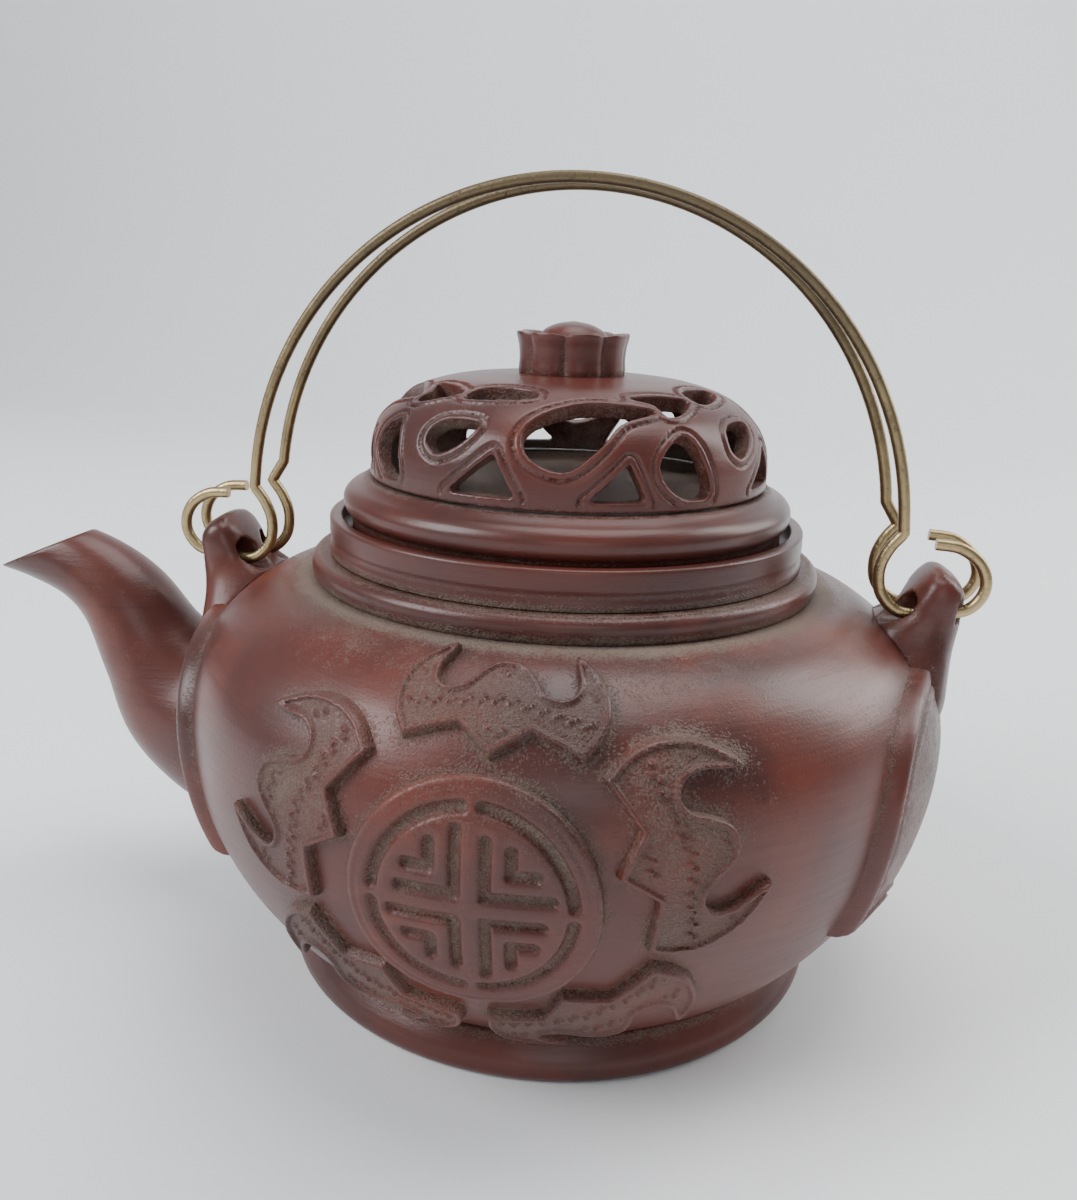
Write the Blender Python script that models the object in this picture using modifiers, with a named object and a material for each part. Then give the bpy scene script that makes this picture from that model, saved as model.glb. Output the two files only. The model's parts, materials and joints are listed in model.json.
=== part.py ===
"""Red-clay teapot with an openwork lid and two folding brass wire handles.

Each piece that a potter makes on its own and lutes or sets in place is an object of its own:
base disc, foot ring, belly, shoulder collar, mouth ring, spout, lugs, applied reliefs, the lid's
plate, locating ring, dome and knob, and the two wires. Metres, +Z up, origin at the centre of the
whole object's footprint on the table, with the pot's own axis a little way along +X from it,
spout towards -X, front relief towards -Y. All dimensions below are measured from the pot's axis.
"""
from math import cos, pi, radians, sin

import bmesh
import bpy
from mathutils import Matrix, Vector

MM = 0.001
GAP = 0.3 * MM
SEGMENTS = 40

# Distance from the footprint's centre to the pot's axis: the spout reaches further than the lug.
AXIS_X = 20.2 * MM

# Driving dimensions of the pot.
FOOT_RADIUS = 48.2 * MM
FOOT_BORE = 40.8 * MM
FOOT_HEIGHT = 7.0 * MM
BASE_DISC_BOTTOM = 3.8 * MM
BASE_DISC_TOP = 7.2 * MM
WALL = 3.2 * MM
MOUTH_RADIUS = 36.8 * MM
COLLAR_RADIUS = 43.7 * MM
COLLAR_BOTTOM = 69.7 * MM
COLLAR_TOP = 73.4 * MM
RING_RADIUS = 40.7 * MM
RING_TOP = 79.7 * MM
RING_LIP_BORE = 38.6 * MM
LEDGE_HEIGHT = 77.4 * MM

# Belly outline (radius, height), foot to shoulder, drawn through by a smooth curve.
BELLY_OUTLINE = [
    (45.4, 7.3), (49.4, 10.6), (53.9, 15.6), (58.2, 22.0), (61.6, 29.4), (63.6, 36.8), (64.5, 44.0),
    (64.2, 50.6), (62.2, 57.0), (58.0, 62.8), (51.8, 67.2), (45.0, 69.4),
]

# Lid.
FLANGE_RADIUS = 38.4 * MM
LID_SEAT_RADIUS = 36.9 * MM
LID_FLOOR_TOP = 84.4 * MM
DOME_WALL = 2.6 * MM
DOME_BOTTOM = 86.3 * MM
LOCATING_RADIUS = 36.2 * MM
LOCATING_WALL = 2.8 * MM
LOCATING_BOTTOM = 70.0 * MM
KNOB_BOTTOM = 104.1 * MM
KNOB_TOP = 110.4 * MM
KNOB_RADIUS = 10.0 * MM
KNOB_PETALS = 8

# Dome outline (radius, height), base to crown.
DOME_OUTLINE = [
    (33.8, 86.3), (33.8, 89.5), (33.3, 93.2), (31.5, 97.0), (27.3, 100.3), (20.4, 102.6), (12.0, 103.6),
]
# Openings of one quarter of the dome: corners as (degrees round, distance up the outline in mm).
DOME_OPENINGS = {
    "low_left": [(-23, 1.6), (-13, 6.6), (-8, 6.9), (-4, 1.6)],
    "loop_left": [(-32, 8.5), (-31, 11.4), (-26, 12.9), (-17, 12.6), (-20, 9.2), (-27, 7.0)],
    "middle": [(-3, 9.0), (-3, 12.6), (3, 16.2), (14, 18.9), (27, 18.6), (37, 16.6), (24, 14.0), (17, 9.6),
               (9, 6.0), (2, 6.6)],
    "low_right": [(14, 1.6), (22, 6.6), (26, 6.6), (29, 1.6)],
    "loop_right": [(33, 7.4), (38, 10.6), (43, 11.2), (47, 6.0), (48, 2.0), (40, 1.8), (34, 4.4)],
    "high_left": [(-30, 18.0), (-29, 22.0), (-17, 23.6), (-6, 22.6), (-4, 20.0), (-16, 18.6)],
    "high_right": [(31, 21.0), (44, 21.6), (56, 19.6), (48, 16.4), (40, 15.2), (38, 18.6)],
}
DOME_QUARTERS = 4

# Applied reliefs.
BAT_THICKNESS = 1.7 * MM
MEDALLION_THICKNESS = 2.1 * MM
PLAQUE_THICKNESS = 2.0 * MM
MEDALLION_RADIUS = 17.0 * MM
MEDALLION_CENTRE = 39.9 * MM
GROOVE_DEPTH = 1.0 * MM
BAT_DISTANCE = 29.0 * MM
# Half of a bat from tail to nose: (distance from the medallion's centre, half span, sharp corner).
BAT_OUTLINE = [
    (19.0, 0.0, True), (23.4, 5.0, True), (20.9, 12.5, True), (24.7, 14.3, False), (29.0, 14.7, False),
    (34.0, 13.0, False), (39.3, 8.2, True), (34.5, 9.5, False), (31.0, 9.6, False), (29.2, 7.6, False),
    (29.8, 5.0, False), (32.2, 2.5, False), (35.6, 0.0, True),
]
# Where each bat stands round the medallion in degrees, then its length and its span against the outline.
BATS = {
    "top": (87, 0.86, 0.97), "right": (15, 1.0, 1.0), "left": (162, 0.98, 0.98),
    "lower_left": (231, 0.92, 1.02), "lower_right": (304, 0.92, 1.04),
}
# Half of a side plaque, top to tail: (half width, height, sharp corner).
PLAQUE_OUTLINE = [
    (0.0, 60.6, False), (12.0, 60.5, False), (22.5, 59.6, False), (30.5, 56.2, False), (35.4, 50.5, False),
    (37.0, 43.5, False), (36.8, 35.5, False), (35.2, 24.8, True), (27.0, 27.0, False), (18.5, 17.0, True),
    (10.0, 12.8, False), (0.0, 10.8, True),
]

# Lugs: (height, inner face, outer face, half width), from the belly up.
LUG_SECTIONS = [
    (51.5, 55.0, 65.8, 13.5), (54.5, 55.0, 66.2, 14.5), (58.0, 53.0, 66.5, 12.6), (61.5, 51.5, 66.8, 10.2),
    (65.0, 52.2, 67.3, 8.4), (68.0, 56.4, 67.8, 7.5), (71.0, 58.4, 67.6, 7.3), (73.4, 60.0, 66.2, 6.6),
    (74.9, 61.4, 64.2, 4.6),
]
LUG_HOLE_OFFSET = 3.8 * MM
LUG_HOLE_WIDTH = 4.6 * MM
LUG_HOLE_BOTTOM = 65.9 * MM
LUG_HOLE_TOP = 71.2 * MM

# Spout: (x, height, radius in the upright plane, half width), root to beyond the mouth.
SPOUT_PATH = [
    (-57.0, 31.5, 17.6, 17.0), (-65.5, 34.0, 16.6, 16.0), (-73.5, 38.6, 14.4, 13.4), (-80.0, 47.0, 10.6, 10.4),
    (-85.6, 56.2, 8.6, 8.8), (-92.5, 61.8, 7.2, 7.4), (-102.0, 65.2, 6.4, 6.2), (-114.0, 67.8, 6.0, 5.4),
]
SPOUT_WALL = 2.6 * MM
SPOUT_TIP = (-110.6, 61.6)
SPOUT_CREST = (-94.6, 68.6)
STRAINER_HOLE_RADIUS = 2.0 * MM
STRAINER_PITCH = 6.6 * MM
STRAINER_HEIGHT = 35.0 * MM

# Wire handles.
WIRE_RADIUS = 1.0 * MM
WIRE_OFFSET = 3.8 * MM
WIRE_PIVOT_HEIGHT = 68.3 * MM
ARCH_CENTRE = 78.0 * MM
# Each wire's side, half span and rise of its arch.
WIRES = {"front": (-1, 56.4 * MM, 56.4 * MM), "back": (1, 54.4 * MM, 56.0 * MM)}
# End loop: (distance from the pot's axis, height), kink to cut end.
WIRE_LOOP = [
    (56.4, 81.0), (54.4, 78.2), (53.3, 74.8), (53.9, 70.8), (56.7, 68.0), (60.5, 67.6), (64.5, 68.2),
    (67.8, 69.0), (69.8, 71.4), (70.1, 74.2), (68.6, 77.2), (65.4, 79.2), (61.6, 79.6),
]

COLLECTIONS = {}


def clear_scene():
    for thing in list(bpy.data.objects):
        bpy.data.objects.remove(thing, do_unlink=True)
    for name in ("clay_teapot", "cutters"):
        group = bpy.data.collections.new(name)
        bpy.context.scene.collection.children.link(group)
        COLLECTIONS[name] = group
    add_empty("pot_axis", (AXIS_X, 0, 0))


def add_empty(name, location):
    """An empty on the pot's axis, or on the axis of something that moves, in the pot's frame."""
    pot = bpy.data.objects.get("pot_axis")
    empty = bpy.data.objects.new(name, None)
    empty.location = location
    empty.parent = pot
    COLLECTIONS["clay_teapot"].objects.link(empty)
    return empty


def material(name, colour, roughness, metallic=0.0):
    finish = bpy.data.materials.new(name)
    finish.use_nodes = True
    shader = finish.node_tree.nodes["Principled BSDF"]
    shader.inputs["Base Color"].default_value = (*colour, 1.0)
    shader.inputs["Roughness"].default_value = roughness
    shader.inputs["Metallic"].default_value = metallic
    return finish


def place(thing, finish=None, parent=None):
    """Link an object as a part when it has a finish, or as a hidden cutter when it has none.

    Every mesh is drawn in the pot's frame, whichever empty carries it.
    """
    group = "clay_teapot" if finish else "cutters"
    COLLECTIONS[group].objects.link(thing)
    if finish:
        thing.data.materials.append(finish)
    else:
        thing.hide_render = True
        thing.display_type = "WIRE"
    thing.parent = parent or bpy.data.objects["pot_axis"]
    if parent:
        thing.matrix_parent_inverse = parent.matrix_basis.inverted()
    return thing


def bezier_points(points, closed=False, steps=4):
    """Points of a smooth curve through the given points (Catmull-Rom)."""
    pts = [Vector(p) for p in points]
    count = len(pts)
    spans = count if closed else count - 1
    out = []
    for i in range(spans):
        if closed:
            a, b, c, d = (pts[(i + k) % count] for k in (-1, 0, 1, 2))
        else:
            b, c = pts[i], pts[i + 1]
            a = pts[i - 1] if i else b * 2 - c
            d = pts[i + 2] if i + 2 < count else c * 2 - b
        for k in range(steps):
            t = k / steps
            out.append(0.5 * (2 * b + (c - a) * t + (2 * a - 5 * b + 4 * c - d) * t ** 2
                              + (3 * b - a - 3 * c + d) * t ** 3))
    if not closed:
        out.append(pts[-1])
    return out


def even_points(points, count):
    """The same open line with its points spaced evenly."""
    lengths = [0.0]
    for a, b in zip(points, points[1:]):
        lengths.append(lengths[-1] + (b - a).length)
    out = []
    k = 0
    for i in range(count):
        target = lengths[-1] * i / (count - 1)
        while k < len(points) - 2 and lengths[k + 1] < target:
            k += 1
        span = lengths[k + 1] - lengths[k]
        out.append(points[k].lerp(points[k + 1], (target - lengths[k]) / span))
    return out


def half_outline(half, steps=2):
    """A mirrored closed outline from a half whose corners are marked sharp, in metres."""
    runs = [[]]
    for x, y, sharp in half:
        runs[-1].append((x * MM, y * MM))
        if sharp and len(runs[-1]) > 1:
            runs.append([(x * MM, y * MM)])
    line = []
    for run in runs:
        if len(run) > 1:
            smooth = bezier_points(run, steps=1 if len(run) == 2 else steps)
            line.extend(smooth if not line else smooth[1:])
    return line


def turned(name, profile, finish=None, parent=None):
    """A body turned about Z from a closed profile, listed down its outer side first."""
    mesh = bpy.data.meshes.new(name)
    count = len(profile)
    on_axis = profile[0][0] == 0 and profile[-1][0] == 0
    edges = [(i, i + 1) for i in range(count - 1)]
    if not on_axis:
        edges.append((count - 1, 0))
    mesh.from_pydata([(r, 0, z) for r, z in profile], edges, [])
    thing = place(bpy.data.objects.new(name, mesh), finish, parent)
    screw = thing.modifiers.new("turn", "SCREW")
    screw.steps = SEGMENTS
    screw.render_steps = SEGMENTS
    screw.use_merge_vertices = True
    screw.merge_threshold = 0.00001
    screw.use_smooth_shade = True
    return thing


def face_outward(bm):
    """Turn the faces of every closed body outward."""
    bm.normal_update()
    bmesh.ops.recalc_face_normals(bm, faces=bm.faces)
    if bm.calc_volume(signed=True) < 0:
        bmesh.ops.reverse_faces(bm, faces=bm.faces)


def lofted(name, rings, finish=None, parent=None):
    """A closed body skinned over rings of equal point counts."""
    bm = bmesh.new()
    loops = [[bm.verts.new(p) for p in ring] for ring in rings]
    for low, high in zip(loops, loops[1:]):
        for i in range(len(low)):
            j = (i + 1) % len(low)
            bm.faces.new((low[i], low[j], high[j], high[i]))
    bm.faces.new(list(reversed(loops[0])))
    bm.faces.new(loops[-1])
    bmesh.ops.triangulate(bm, faces=[f for f in bm.faces if len(f.verts) > 4])
    face_outward(bm)
    mesh = bpy.data.meshes.new(name)
    bm.to_mesh(mesh)
    bm.free()
    thing = place(bpy.data.objects.new(name, mesh), finish, parent)
    if finish:
        thing.data.shade_smooth()
        thing.data.set_sharp_from_angle(angle=radians(40))
    return thing


def joined_prisms(name, prisms):
    """Several closed bodies, each given as a pair of matching rings, in one cutter."""
    bm = bmesh.new()
    for near, far in prisms:
        a = [bm.verts.new(p) for p in near]
        b = [bm.verts.new(p) for p in far]
        for i in range(len(a)):
            j = (i + 1) % len(a)
            bm.faces.new((a[i], a[j], b[j], b[i]))
        bm.faces.new(list(reversed(a)))
        bm.faces.new(b)
    bmesh.ops.triangulate(bm, faces=bm.faces[:])
    face_outward(bm)
    mesh = bpy.data.meshes.new(name)
    bm.to_mesh(mesh)
    bm.free()
    return place(bpy.data.objects.new(name, mesh))


def boolean(thing, cutter, operation="DIFFERENCE", solver="EXACT"):
    step = thing.modifiers.new(cutter.name, "BOOLEAN")
    step.operation = operation
    step.object = cutter
    step.solver = solver


class Outline:
    """A turned outline: its points, its offsets, and a frame at any distance along it."""

    def __init__(self, points, rows):
        smooth = bezier_points([(r * MM, z * MM) for r, z in points], steps=8)
        self.points = even_points(smooth, rows)
        self.fine = even_points(smooth, 400)

    def normal(self, line, i):
        before = line[max(i - 1, 0)]
        after = line[min(i + 1, len(line) - 1)]
        along = (after - before).normalized()
        return Vector((along.y, -along.x))

    def offset(self, distance):
        line = self.points
        return [p + self.normal(line, i) * distance for i, p in enumerate(line)]

    def at(self, distance):
        """Point, outward normal and direction up the outline, at a distance from its low end."""
        line = self.fine
        step = (line[1] - line[0]).length
        place_on = min(max(distance / step, 0.0), len(line) - 1.0)
        i = min(int(place_on), len(line) - 2)
        point = line[i].lerp(line[i + 1], place_on - i)
        out = self.normal(line, i)
        return point, out, Vector((-out.y, out.x))

    def frame(self, distance, azimuth):
        """Matrix whose X runs round the pot, Y up the outline and Z out, at a point on the skin."""
        point, out, up = self.at(distance)
        radial = Vector((sin(azimuth), -cos(azimuth), 0))
        around = Vector((cos(azimuth), sin(azimuth), 0))
        up_axis = radial * up.x + Vector((0, 0, up.y))
        out_axis = radial * out.x + Vector((0, 0, out.y))
        matrix = Matrix((around, up_axis, out_axis)).transposed().to_4x4()
        matrix.translation = radial * point.x + Vector((0, 0, point.y))
        return matrix


BELLY = Outline(BELLY_OUTLINE, 12)
DOME = Outline(DOME_OUTLINE, 8)


def skin_shell(name, thickness, finish, parent=None):
    """A shell that lies on the belly, a gap away from it."""
    outer = list(reversed(BELLY.offset(GAP + thickness)))
    inner = BELLY.offset(GAP)
    return turned(name, [(p.x, p.y) for p in outer + inner], finish, parent)


def belly_guard(distance):
    """The belly's whole volume, grown by a distance, for trimming what is luted to it."""
    outer = [(p.x, p.y) for p in reversed(BELLY.offset(distance))]
    low = outer[-1]
    high = outer[0]
    return turned("belly_guard", [(0, high[1] + 1 * MM), (high[0] - 4 * MM, high[1] + 1 * MM)] + outer
                  + [(low[0], 0.0), (0, 0.0)])


def prism_on_skin(name, outline, frame, reach):
    """A cutter that stands along the frame's Z through the skin, from an outline in its X and Y."""
    near = [frame @ Vector((x, y, -reach)) for x, y in outline]
    far = [frame @ Vector((x, y, reach)) for x, y in outline]
    return joined_prisms(name, [(near, far)])


def make_body(clay):
    skin = [(p.x, p.y) for p in reversed(BELLY.points)]
    lining = [(p.x, p.y) for p in BELLY.offset(-WALL)]
    lining[0] = (lining[0][0] + 0.6 * MM, skin[-1][1])
    top = skin[0][1]
    belly = turned("belly", [(MOUTH_RADIUS, top)] + skin + lining + [(MOUTH_RADIUS, top - WALL)], clay)
    boolean(belly, strainer_holes())

    bpy.ops.mesh.primitive_cylinder_add(vertices=SEGMENTS, radius=FOOT_BORE - GAP,
                                        depth=BASE_DISC_TOP - BASE_DISC_BOTTOM,
                                        location=(0, 0, (BASE_DISC_TOP + BASE_DISC_BOTTOM) / 2))
    disc = bpy.context.object
    disc.name = "base_disc"
    for group in list(disc.users_collection):
        group.objects.unlink(disc)
    place(disc, clay)

    turned("foot_ring", [
        (FOOT_BORE, FOOT_HEIGHT), (45.6 * MM, FOOT_HEIGHT), (46.9 * MM, 5.6 * MM), (FOOT_RADIUS, 3.4 * MM),
        (FOOT_RADIUS, 1.2 * MM), (47.4 * MM, 0), (43.4 * MM, 0), (FOOT_BORE, 1.6 * MM)], clay)

    turned("shoulder_collar", [
        (MOUTH_RADIUS, COLLAR_TOP), (42.6 * MM, COLLAR_TOP), (COLLAR_RADIUS, 72.4 * MM),
        (COLLAR_RADIUS, 70.6 * MM), (43.2 * MM, COLLAR_BOTTOM), (MOUTH_RADIUS, COLLAR_BOTTOM)], clay)

    ring_bottom = COLLAR_TOP + GAP
    turned("mouth_ring", [
        (RING_LIP_BORE, RING_TOP - 0.5 * MM), (39.1 * MM, RING_TOP), (40.3 * MM, RING_TOP),
        (RING_RADIUS, RING_TOP - 0.6 * MM), (RING_RADIUS, ring_bottom), (MOUTH_RADIUS, ring_bottom),
        (MOUTH_RADIUS, LEDGE_HEIGHT), (RING_LIP_BORE, LEDGE_HEIGHT)], clay)


def strainer_holes():
    """Seven holes through the belly wall behind the spout, one in the middle and six round it."""
    spots = [(0.0, STRAINER_HEIGHT)]
    for k in range(6):
        angle = radians(60 * k + 30)
        spots.append((STRAINER_PITCH * cos(angle), STRAINER_HEIGHT + STRAINER_PITCH * sin(angle)))
    prisms = []
    for y, z in spots:
        ring = []
        for k in range(10):
            turn = 2 * pi * k / 10
            ring.append((y + STRAINER_HOLE_RADIUS * cos(turn), z + STRAINER_HOLE_RADIUS * sin(turn)))
        prisms.append(([(-70 * MM, a, b) for a, b in ring], [(-50 * MM, a, b) for a, b in ring]))
    return joined_prisms("strainer_cutter", prisms)


def spout_rings(shrink):
    """Rings of the spout's tube, with their radii reduced by shrink; a bore runs out past both ends."""
    path = bezier_points([(x * MM, z * MM, r * MM, w * MM) for x, z, r, w in SPOUT_PATH], steps=2)
    if shrink:
        for end, beside in ((0, 1), (-1, -2)):
            onward = path[end] - path[beside]
            path[end] = path[end] + onward * 1.5
    rings = []
    for i, here in enumerate(path):
        before = path[max(i - 1, 0)]
        after = path[min(i + 1, len(path) - 1)]
        along = Vector((after[0] - before[0], after[1] - before[1])).normalized()
        across = Vector((along.y, -along.x))
        ring = []
        for k in range(16):
            turn = 2 * pi * k / 16
            lift = (here[2] - shrink) * cos(turn)
            side = (here[3] - shrink) * sin(turn)
            ring.append((here[0] + across.x * lift, side, here[1] + across.y * lift))
        rings.append(ring)
    return rings


def make_spout(clay):
    spout = lofted("spout", spout_rings(0.0), clay)
    bore = lofted("spout_bore", spout_rings(SPOUT_WALL))
    boolean(spout, bore)
    boolean(spout, belly_guard(GAP * 2 + PLAQUE_THICKNESS))
    tip = Vector(SPOUT_TIP) * MM
    crest = Vector(SPOUT_CREST) * MM
    along = (crest - tip).normalized()
    up = Vector((-along.y, along.x))
    low = tip - along * 30 * MM
    corners = [low, crest + along * 3 * MM, crest + along * 3 * MM + up * 30 * MM, low + up * 30 * MM]
    near = [(p.x, -20 * MM, p.y) for p in corners]
    far = [(p.x, 20 * MM, p.y) for p in corners]
    boolean(spout, joined_prisms("mouth_cut", [(near, far)]))
    return bore


def make_side_plaque(name, side, clay, guards):
    half = half_outline(PLAQUE_OUTLINE)
    outline = half + [Vector((-p.x, p.y)) for p in reversed(half[1:-1])]
    plaque = skin_shell(name, PLAQUE_THICKNESS, clay)
    near = [(side * 30 * MM, side * p.x, p.y) for p in outline]
    far = [(side * 80 * MM, side * p.x, p.y) for p in outline]
    boolean(plaque, joined_prisms(name + "_outline", [(near, far)]), "INTERSECT")
    for guard in guards:
        boolean(plaque, guard)


def bat_outline(direction, length, span):
    """A bat's outline round its own middle, in the frame whose X runs round and Y up the belly."""
    half = half_outline(BAT_OUTLINE)
    points = [((p.x - BAT_DISTANCE) * length, p.y * span) for p in half]
    points += [(v, -w) for v, w in reversed(points[1:-1])]
    c, s = cos(direction), sin(direction)
    return [(v * c - w * s, v * s + w * c) for v, w in points]


def make_bats(face, azimuth, clay):
    tail = BAT_OUTLINE[0][0] * MM
    for label, (direction, length, span) in BATS.items():
        turn = radians(direction)
        distance = tail + (BAT_DISTANCE - tail) * length
        up = MEDALLION_CENTRE + distance * sin(turn)
        point, _, _ = BELLY.at(up)
        around = azimuth + distance * cos(turn) / point.x
        bat = skin_shell("bat_%s_%s" % (face, label), BAT_THICKNESS, clay)
        frame = BELLY.frame(up, around)
        cutter = prism_on_skin(bat.name + "_outline", bat_outline(turn, length, span), frame, 12 * MM)
        boolean(bat, cutter, "INTERSECT")


def on_skin(azimuth, x, y, lift):
    """Point above the belly's skin, from distances round and up it from the medallion's centre."""
    point, out, _ = BELLY.at(MEDALLION_CENTRE + y)
    turn = azimuth + x / point.x
    spot = point + out * lift
    return Vector((spot.x * sin(turn), -spot.x * cos(turn), spot.y))


def wrapped_prism(azimuth, outline, low, high):
    near = [on_skin(azimuth, x, y, low) for x, y in outline]
    far = [on_skin(azimuth, x, y, high) for x, y in outline]
    return near, far


def fret_cutters(name, azimuth):
    """Grooves of a four-fold key fret inside a ring, sunk into the medallion's face."""
    floor = GAP + MEDALLION_THICKNESS - GROOVE_DEPTH
    prisms = []
    for quarter in range(4):
        turn = Matrix.Rotation(radians(90 * quarter), 2)
        arc = [Vector((cos(radians(a)), sin(radians(a)))) for a in (6, 19, 32, 45, 58, 71, 84)]
        ring = [p * 13.9 for p in arc] + [p * 12.6 for p in reversed(arc)]
        hook = [(1.3, 1.3), (10.4, 1.3), (10.4, 2.6), (2.6, 2.6), (2.6, 9.2), (1.3, 9.2)]
        key = [(4.6, 4.6), (8.4, 4.6), (8.4, 5.9), (5.9, 5.9), (5.9, 8.2), (4.6, 8.2)]
        for shape in (ring, hook, key):
            outline = [turn @ Vector(p) * MM for p in shape]
            prisms.append(wrapped_prism(azimuth, outline, floor, floor + 4 * MM))
    return joined_prisms(name, prisms)


def make_medallion(face, azimuth, clay):
    medallion = skin_shell("medallion_%s" % face, MEDALLION_THICKNESS, clay)
    circle = []
    for k in range(40):
        turn = 2 * pi * k / 40
        circle.append((MEDALLION_RADIUS * cos(turn), MEDALLION_RADIUS * sin(turn)))
    edge = joined_prisms(medallion.name + "_outline", [wrapped_prism(azimuth, circle, -3 * MM, 6 * MM)])
    boolean(medallion, edge, "INTERSECT")
    boolean(medallion, fret_cutters(medallion.name + "_fret", azimuth), solver="MANIFOLD")


def lug_rings(side, grow):
    """Squarish rings of a lug, from the belly up."""
    rings = []
    for z, inner, outer, half_width in LUG_SECTIONS:
        middle = (inner + outer) / 2
        half_depth = (outer - inner) / 2 + grow
        ring = []
        for k in range(20):
            turn = 2 * pi * k / 20
            c, s = cos(turn), sin(turn)
            x = middle + half_depth * abs(c) ** 0.8 * (1 if c > 0 else -1)
            y = (half_width + grow) * abs(s) ** 0.8 * (1 if s > 0 else -1)
            ring.append((side * x * MM, y * MM, z * MM))
        rings.append(ring)
    z, inner, outer, half_width = LUG_SECTIONS[-1]
    middle = (inner + outer) / 2
    cap = [(side * middle * MM + (x - side * middle * MM) * 0.4, y * 0.4, (z + 0.5 + grow) * MM)
           for x, y, _ in rings[-1]]
    rings.append(cap)
    return rings


def make_lug(name, side, clay, guard):
    lug = lofted(name, lug_rings(side, 0.0), clay)
    boolean(lug, guard)
    prisms = []
    for offset in (-LUG_HOLE_OFFSET, LUG_HOLE_OFFSET):
        ring = []
        half = LUG_HOLE_WIDTH / 2
        for k in range(16):
            turn = 2 * pi * k / 16
            middle = LUG_HOLE_TOP - half if sin(turn) >= 0 else LUG_HOLE_BOTTOM + half
            ring.append((offset + half * cos(turn), middle + half * sin(turn)))
        near = [(side * 50 * MM, y, z) for y, z in ring]
        far = [(side * 72 * MM, y, z) for y, z in ring]
        prisms.append((near, far))
    boolean(lug, joined_prisms(name + "_holes", prisms), solver="MANIFOLD")


def dome_openings():
    prisms = []
    for quarter in range(DOME_QUARTERS):
        for corners in DOME_OPENINGS.values():
            steps = 1 if len(corners) > 6 else 2
            smooth = bezier_points([(a, d) for a, d in corners], closed=True, steps=steps)
            near = []
            far = []
            for angle, distance in smooth:
                azimuth = radians(angle + 90 * quarter)
                point, out, _ = DOME.at(distance * MM)
                for ring, reach in ((near, -DOME_WALL - 1.5 * MM), (far, 2 * MM)):
                    spot = point + out * reach
                    ring.append((spot.x * sin(azimuth), -spot.x * cos(azimuth), spot.y))
            prisms.append((near, far))
    return joined_prisms("dome_openings", prisms)


def make_lid(clay, pivot):
    seat = LEDGE_HEIGHT + GAP
    turned("lid_plate", [
        (0, LID_FLOOR_TOP), (31.0 * MM, LID_FLOOR_TOP), (31.6 * MM, 86.0 * MM), (34.8 * MM, 86.0 * MM),
        (35.7 * MM, 85.1 * MM), (37.3 * MM, 84.3 * MM), (38.2 * MM, 83.3 * MM), (FLANGE_RADIUS, 81.9 * MM),
        (38.0 * MM, 80.6 * MM), (37.1 * MM, 79.7 * MM), (LID_SEAT_RADIUS + 0.1 * MM, seat),
        (0, seat)], clay, pivot)
    turned("lid_locating_ring", [
        (LOCATING_RADIUS - LOCATING_WALL, LEDGE_HEIGHT), (LOCATING_RADIUS, LEDGE_HEIGHT),
        (LOCATING_RADIUS, LOCATING_BOTTOM + 1 * MM), (LOCATING_RADIUS - 0.8 * MM, LOCATING_BOTTOM),
        (LOCATING_RADIUS - LOCATING_WALL, LOCATING_BOTTOM)], clay, pivot)
    outer = [(p.x, p.y) for p in reversed(DOME.points)]
    inner = [(p.x, p.y) for p in DOME.offset(-DOME_WALL)]
    inner[0] = (inner[0][0], outer[-1][1])
    crown = outer[0][1] + 0.2 * MM
    dome = turned("lid_dome", [(0, crown)] + outer + inner + [(0, crown - DOME_WALL)], clay, pivot)
    boolean(dome, dome_openings())

    rows = [(0.91, 0.0), (0.92, 0.12), (0.87, 0.35), (0.90, 0.65), (0.97, 0.92), (0.96, 1.0)]
    rings = [petal_ring(KNOB_RADIUS * width, KNOB_BOTTOM + (KNOB_TOP - KNOB_BOTTOM) * rise, 0.05)
             for width, rise in rows]
    rings.append(petal_ring(KNOB_RADIUS * 0.76, KNOB_TOP - 0.6 * MM, 0.03))
    rings.append(petal_ring(KNOB_RADIUS * 0.68, KNOB_TOP - 3.2 * MM, 0.0))
    lofted("lid_knob", rings, clay, pivot)
    button = KNOB_RADIUS * 0.62
    floor = KNOB_TOP - 3.2 * MM + GAP
    turned("knob_centre", [
        (0, 112.2 * MM), (button * 0.45, 111.8 * MM), (button * 0.8, 110.7 * MM), (button, 109.2 * MM),
        (button, floor), (0, floor)], clay, pivot)


def petal_ring(radius, height, depth):
    ring = []
    for k in range(KNOB_PETALS * 4):
        turn = 2 * pi * k / (KNOB_PETALS * 4)
        spread = radius * (1 - depth * (1 - abs(sin(KNOB_PETALS * turn / 2))) * 2)
        ring.append((spread * cos(turn), spread * sin(turn), height))
    return ring


def wire_route(half_span, rise):
    """The wire's line in its own upright plane, from one cut end over the arch to the other."""
    loop = bezier_points([(x * MM, z * MM) for x, z in reversed(WIRE_LOOP)], steps=2)
    arch = []
    steps = 26
    for k in range(1, steps):
        turn = pi * k / steps
        arch.append((half_span * cos(turn), ARCH_CENTRE + rise * sin(turn)))
    right = [(p.x, p.y) for p in loop]
    start = [p for p in arch if p[1] > 84.5 * MM]
    left = [(-x, z) for x, z in reversed(right)]
    return right + start + left


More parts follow.
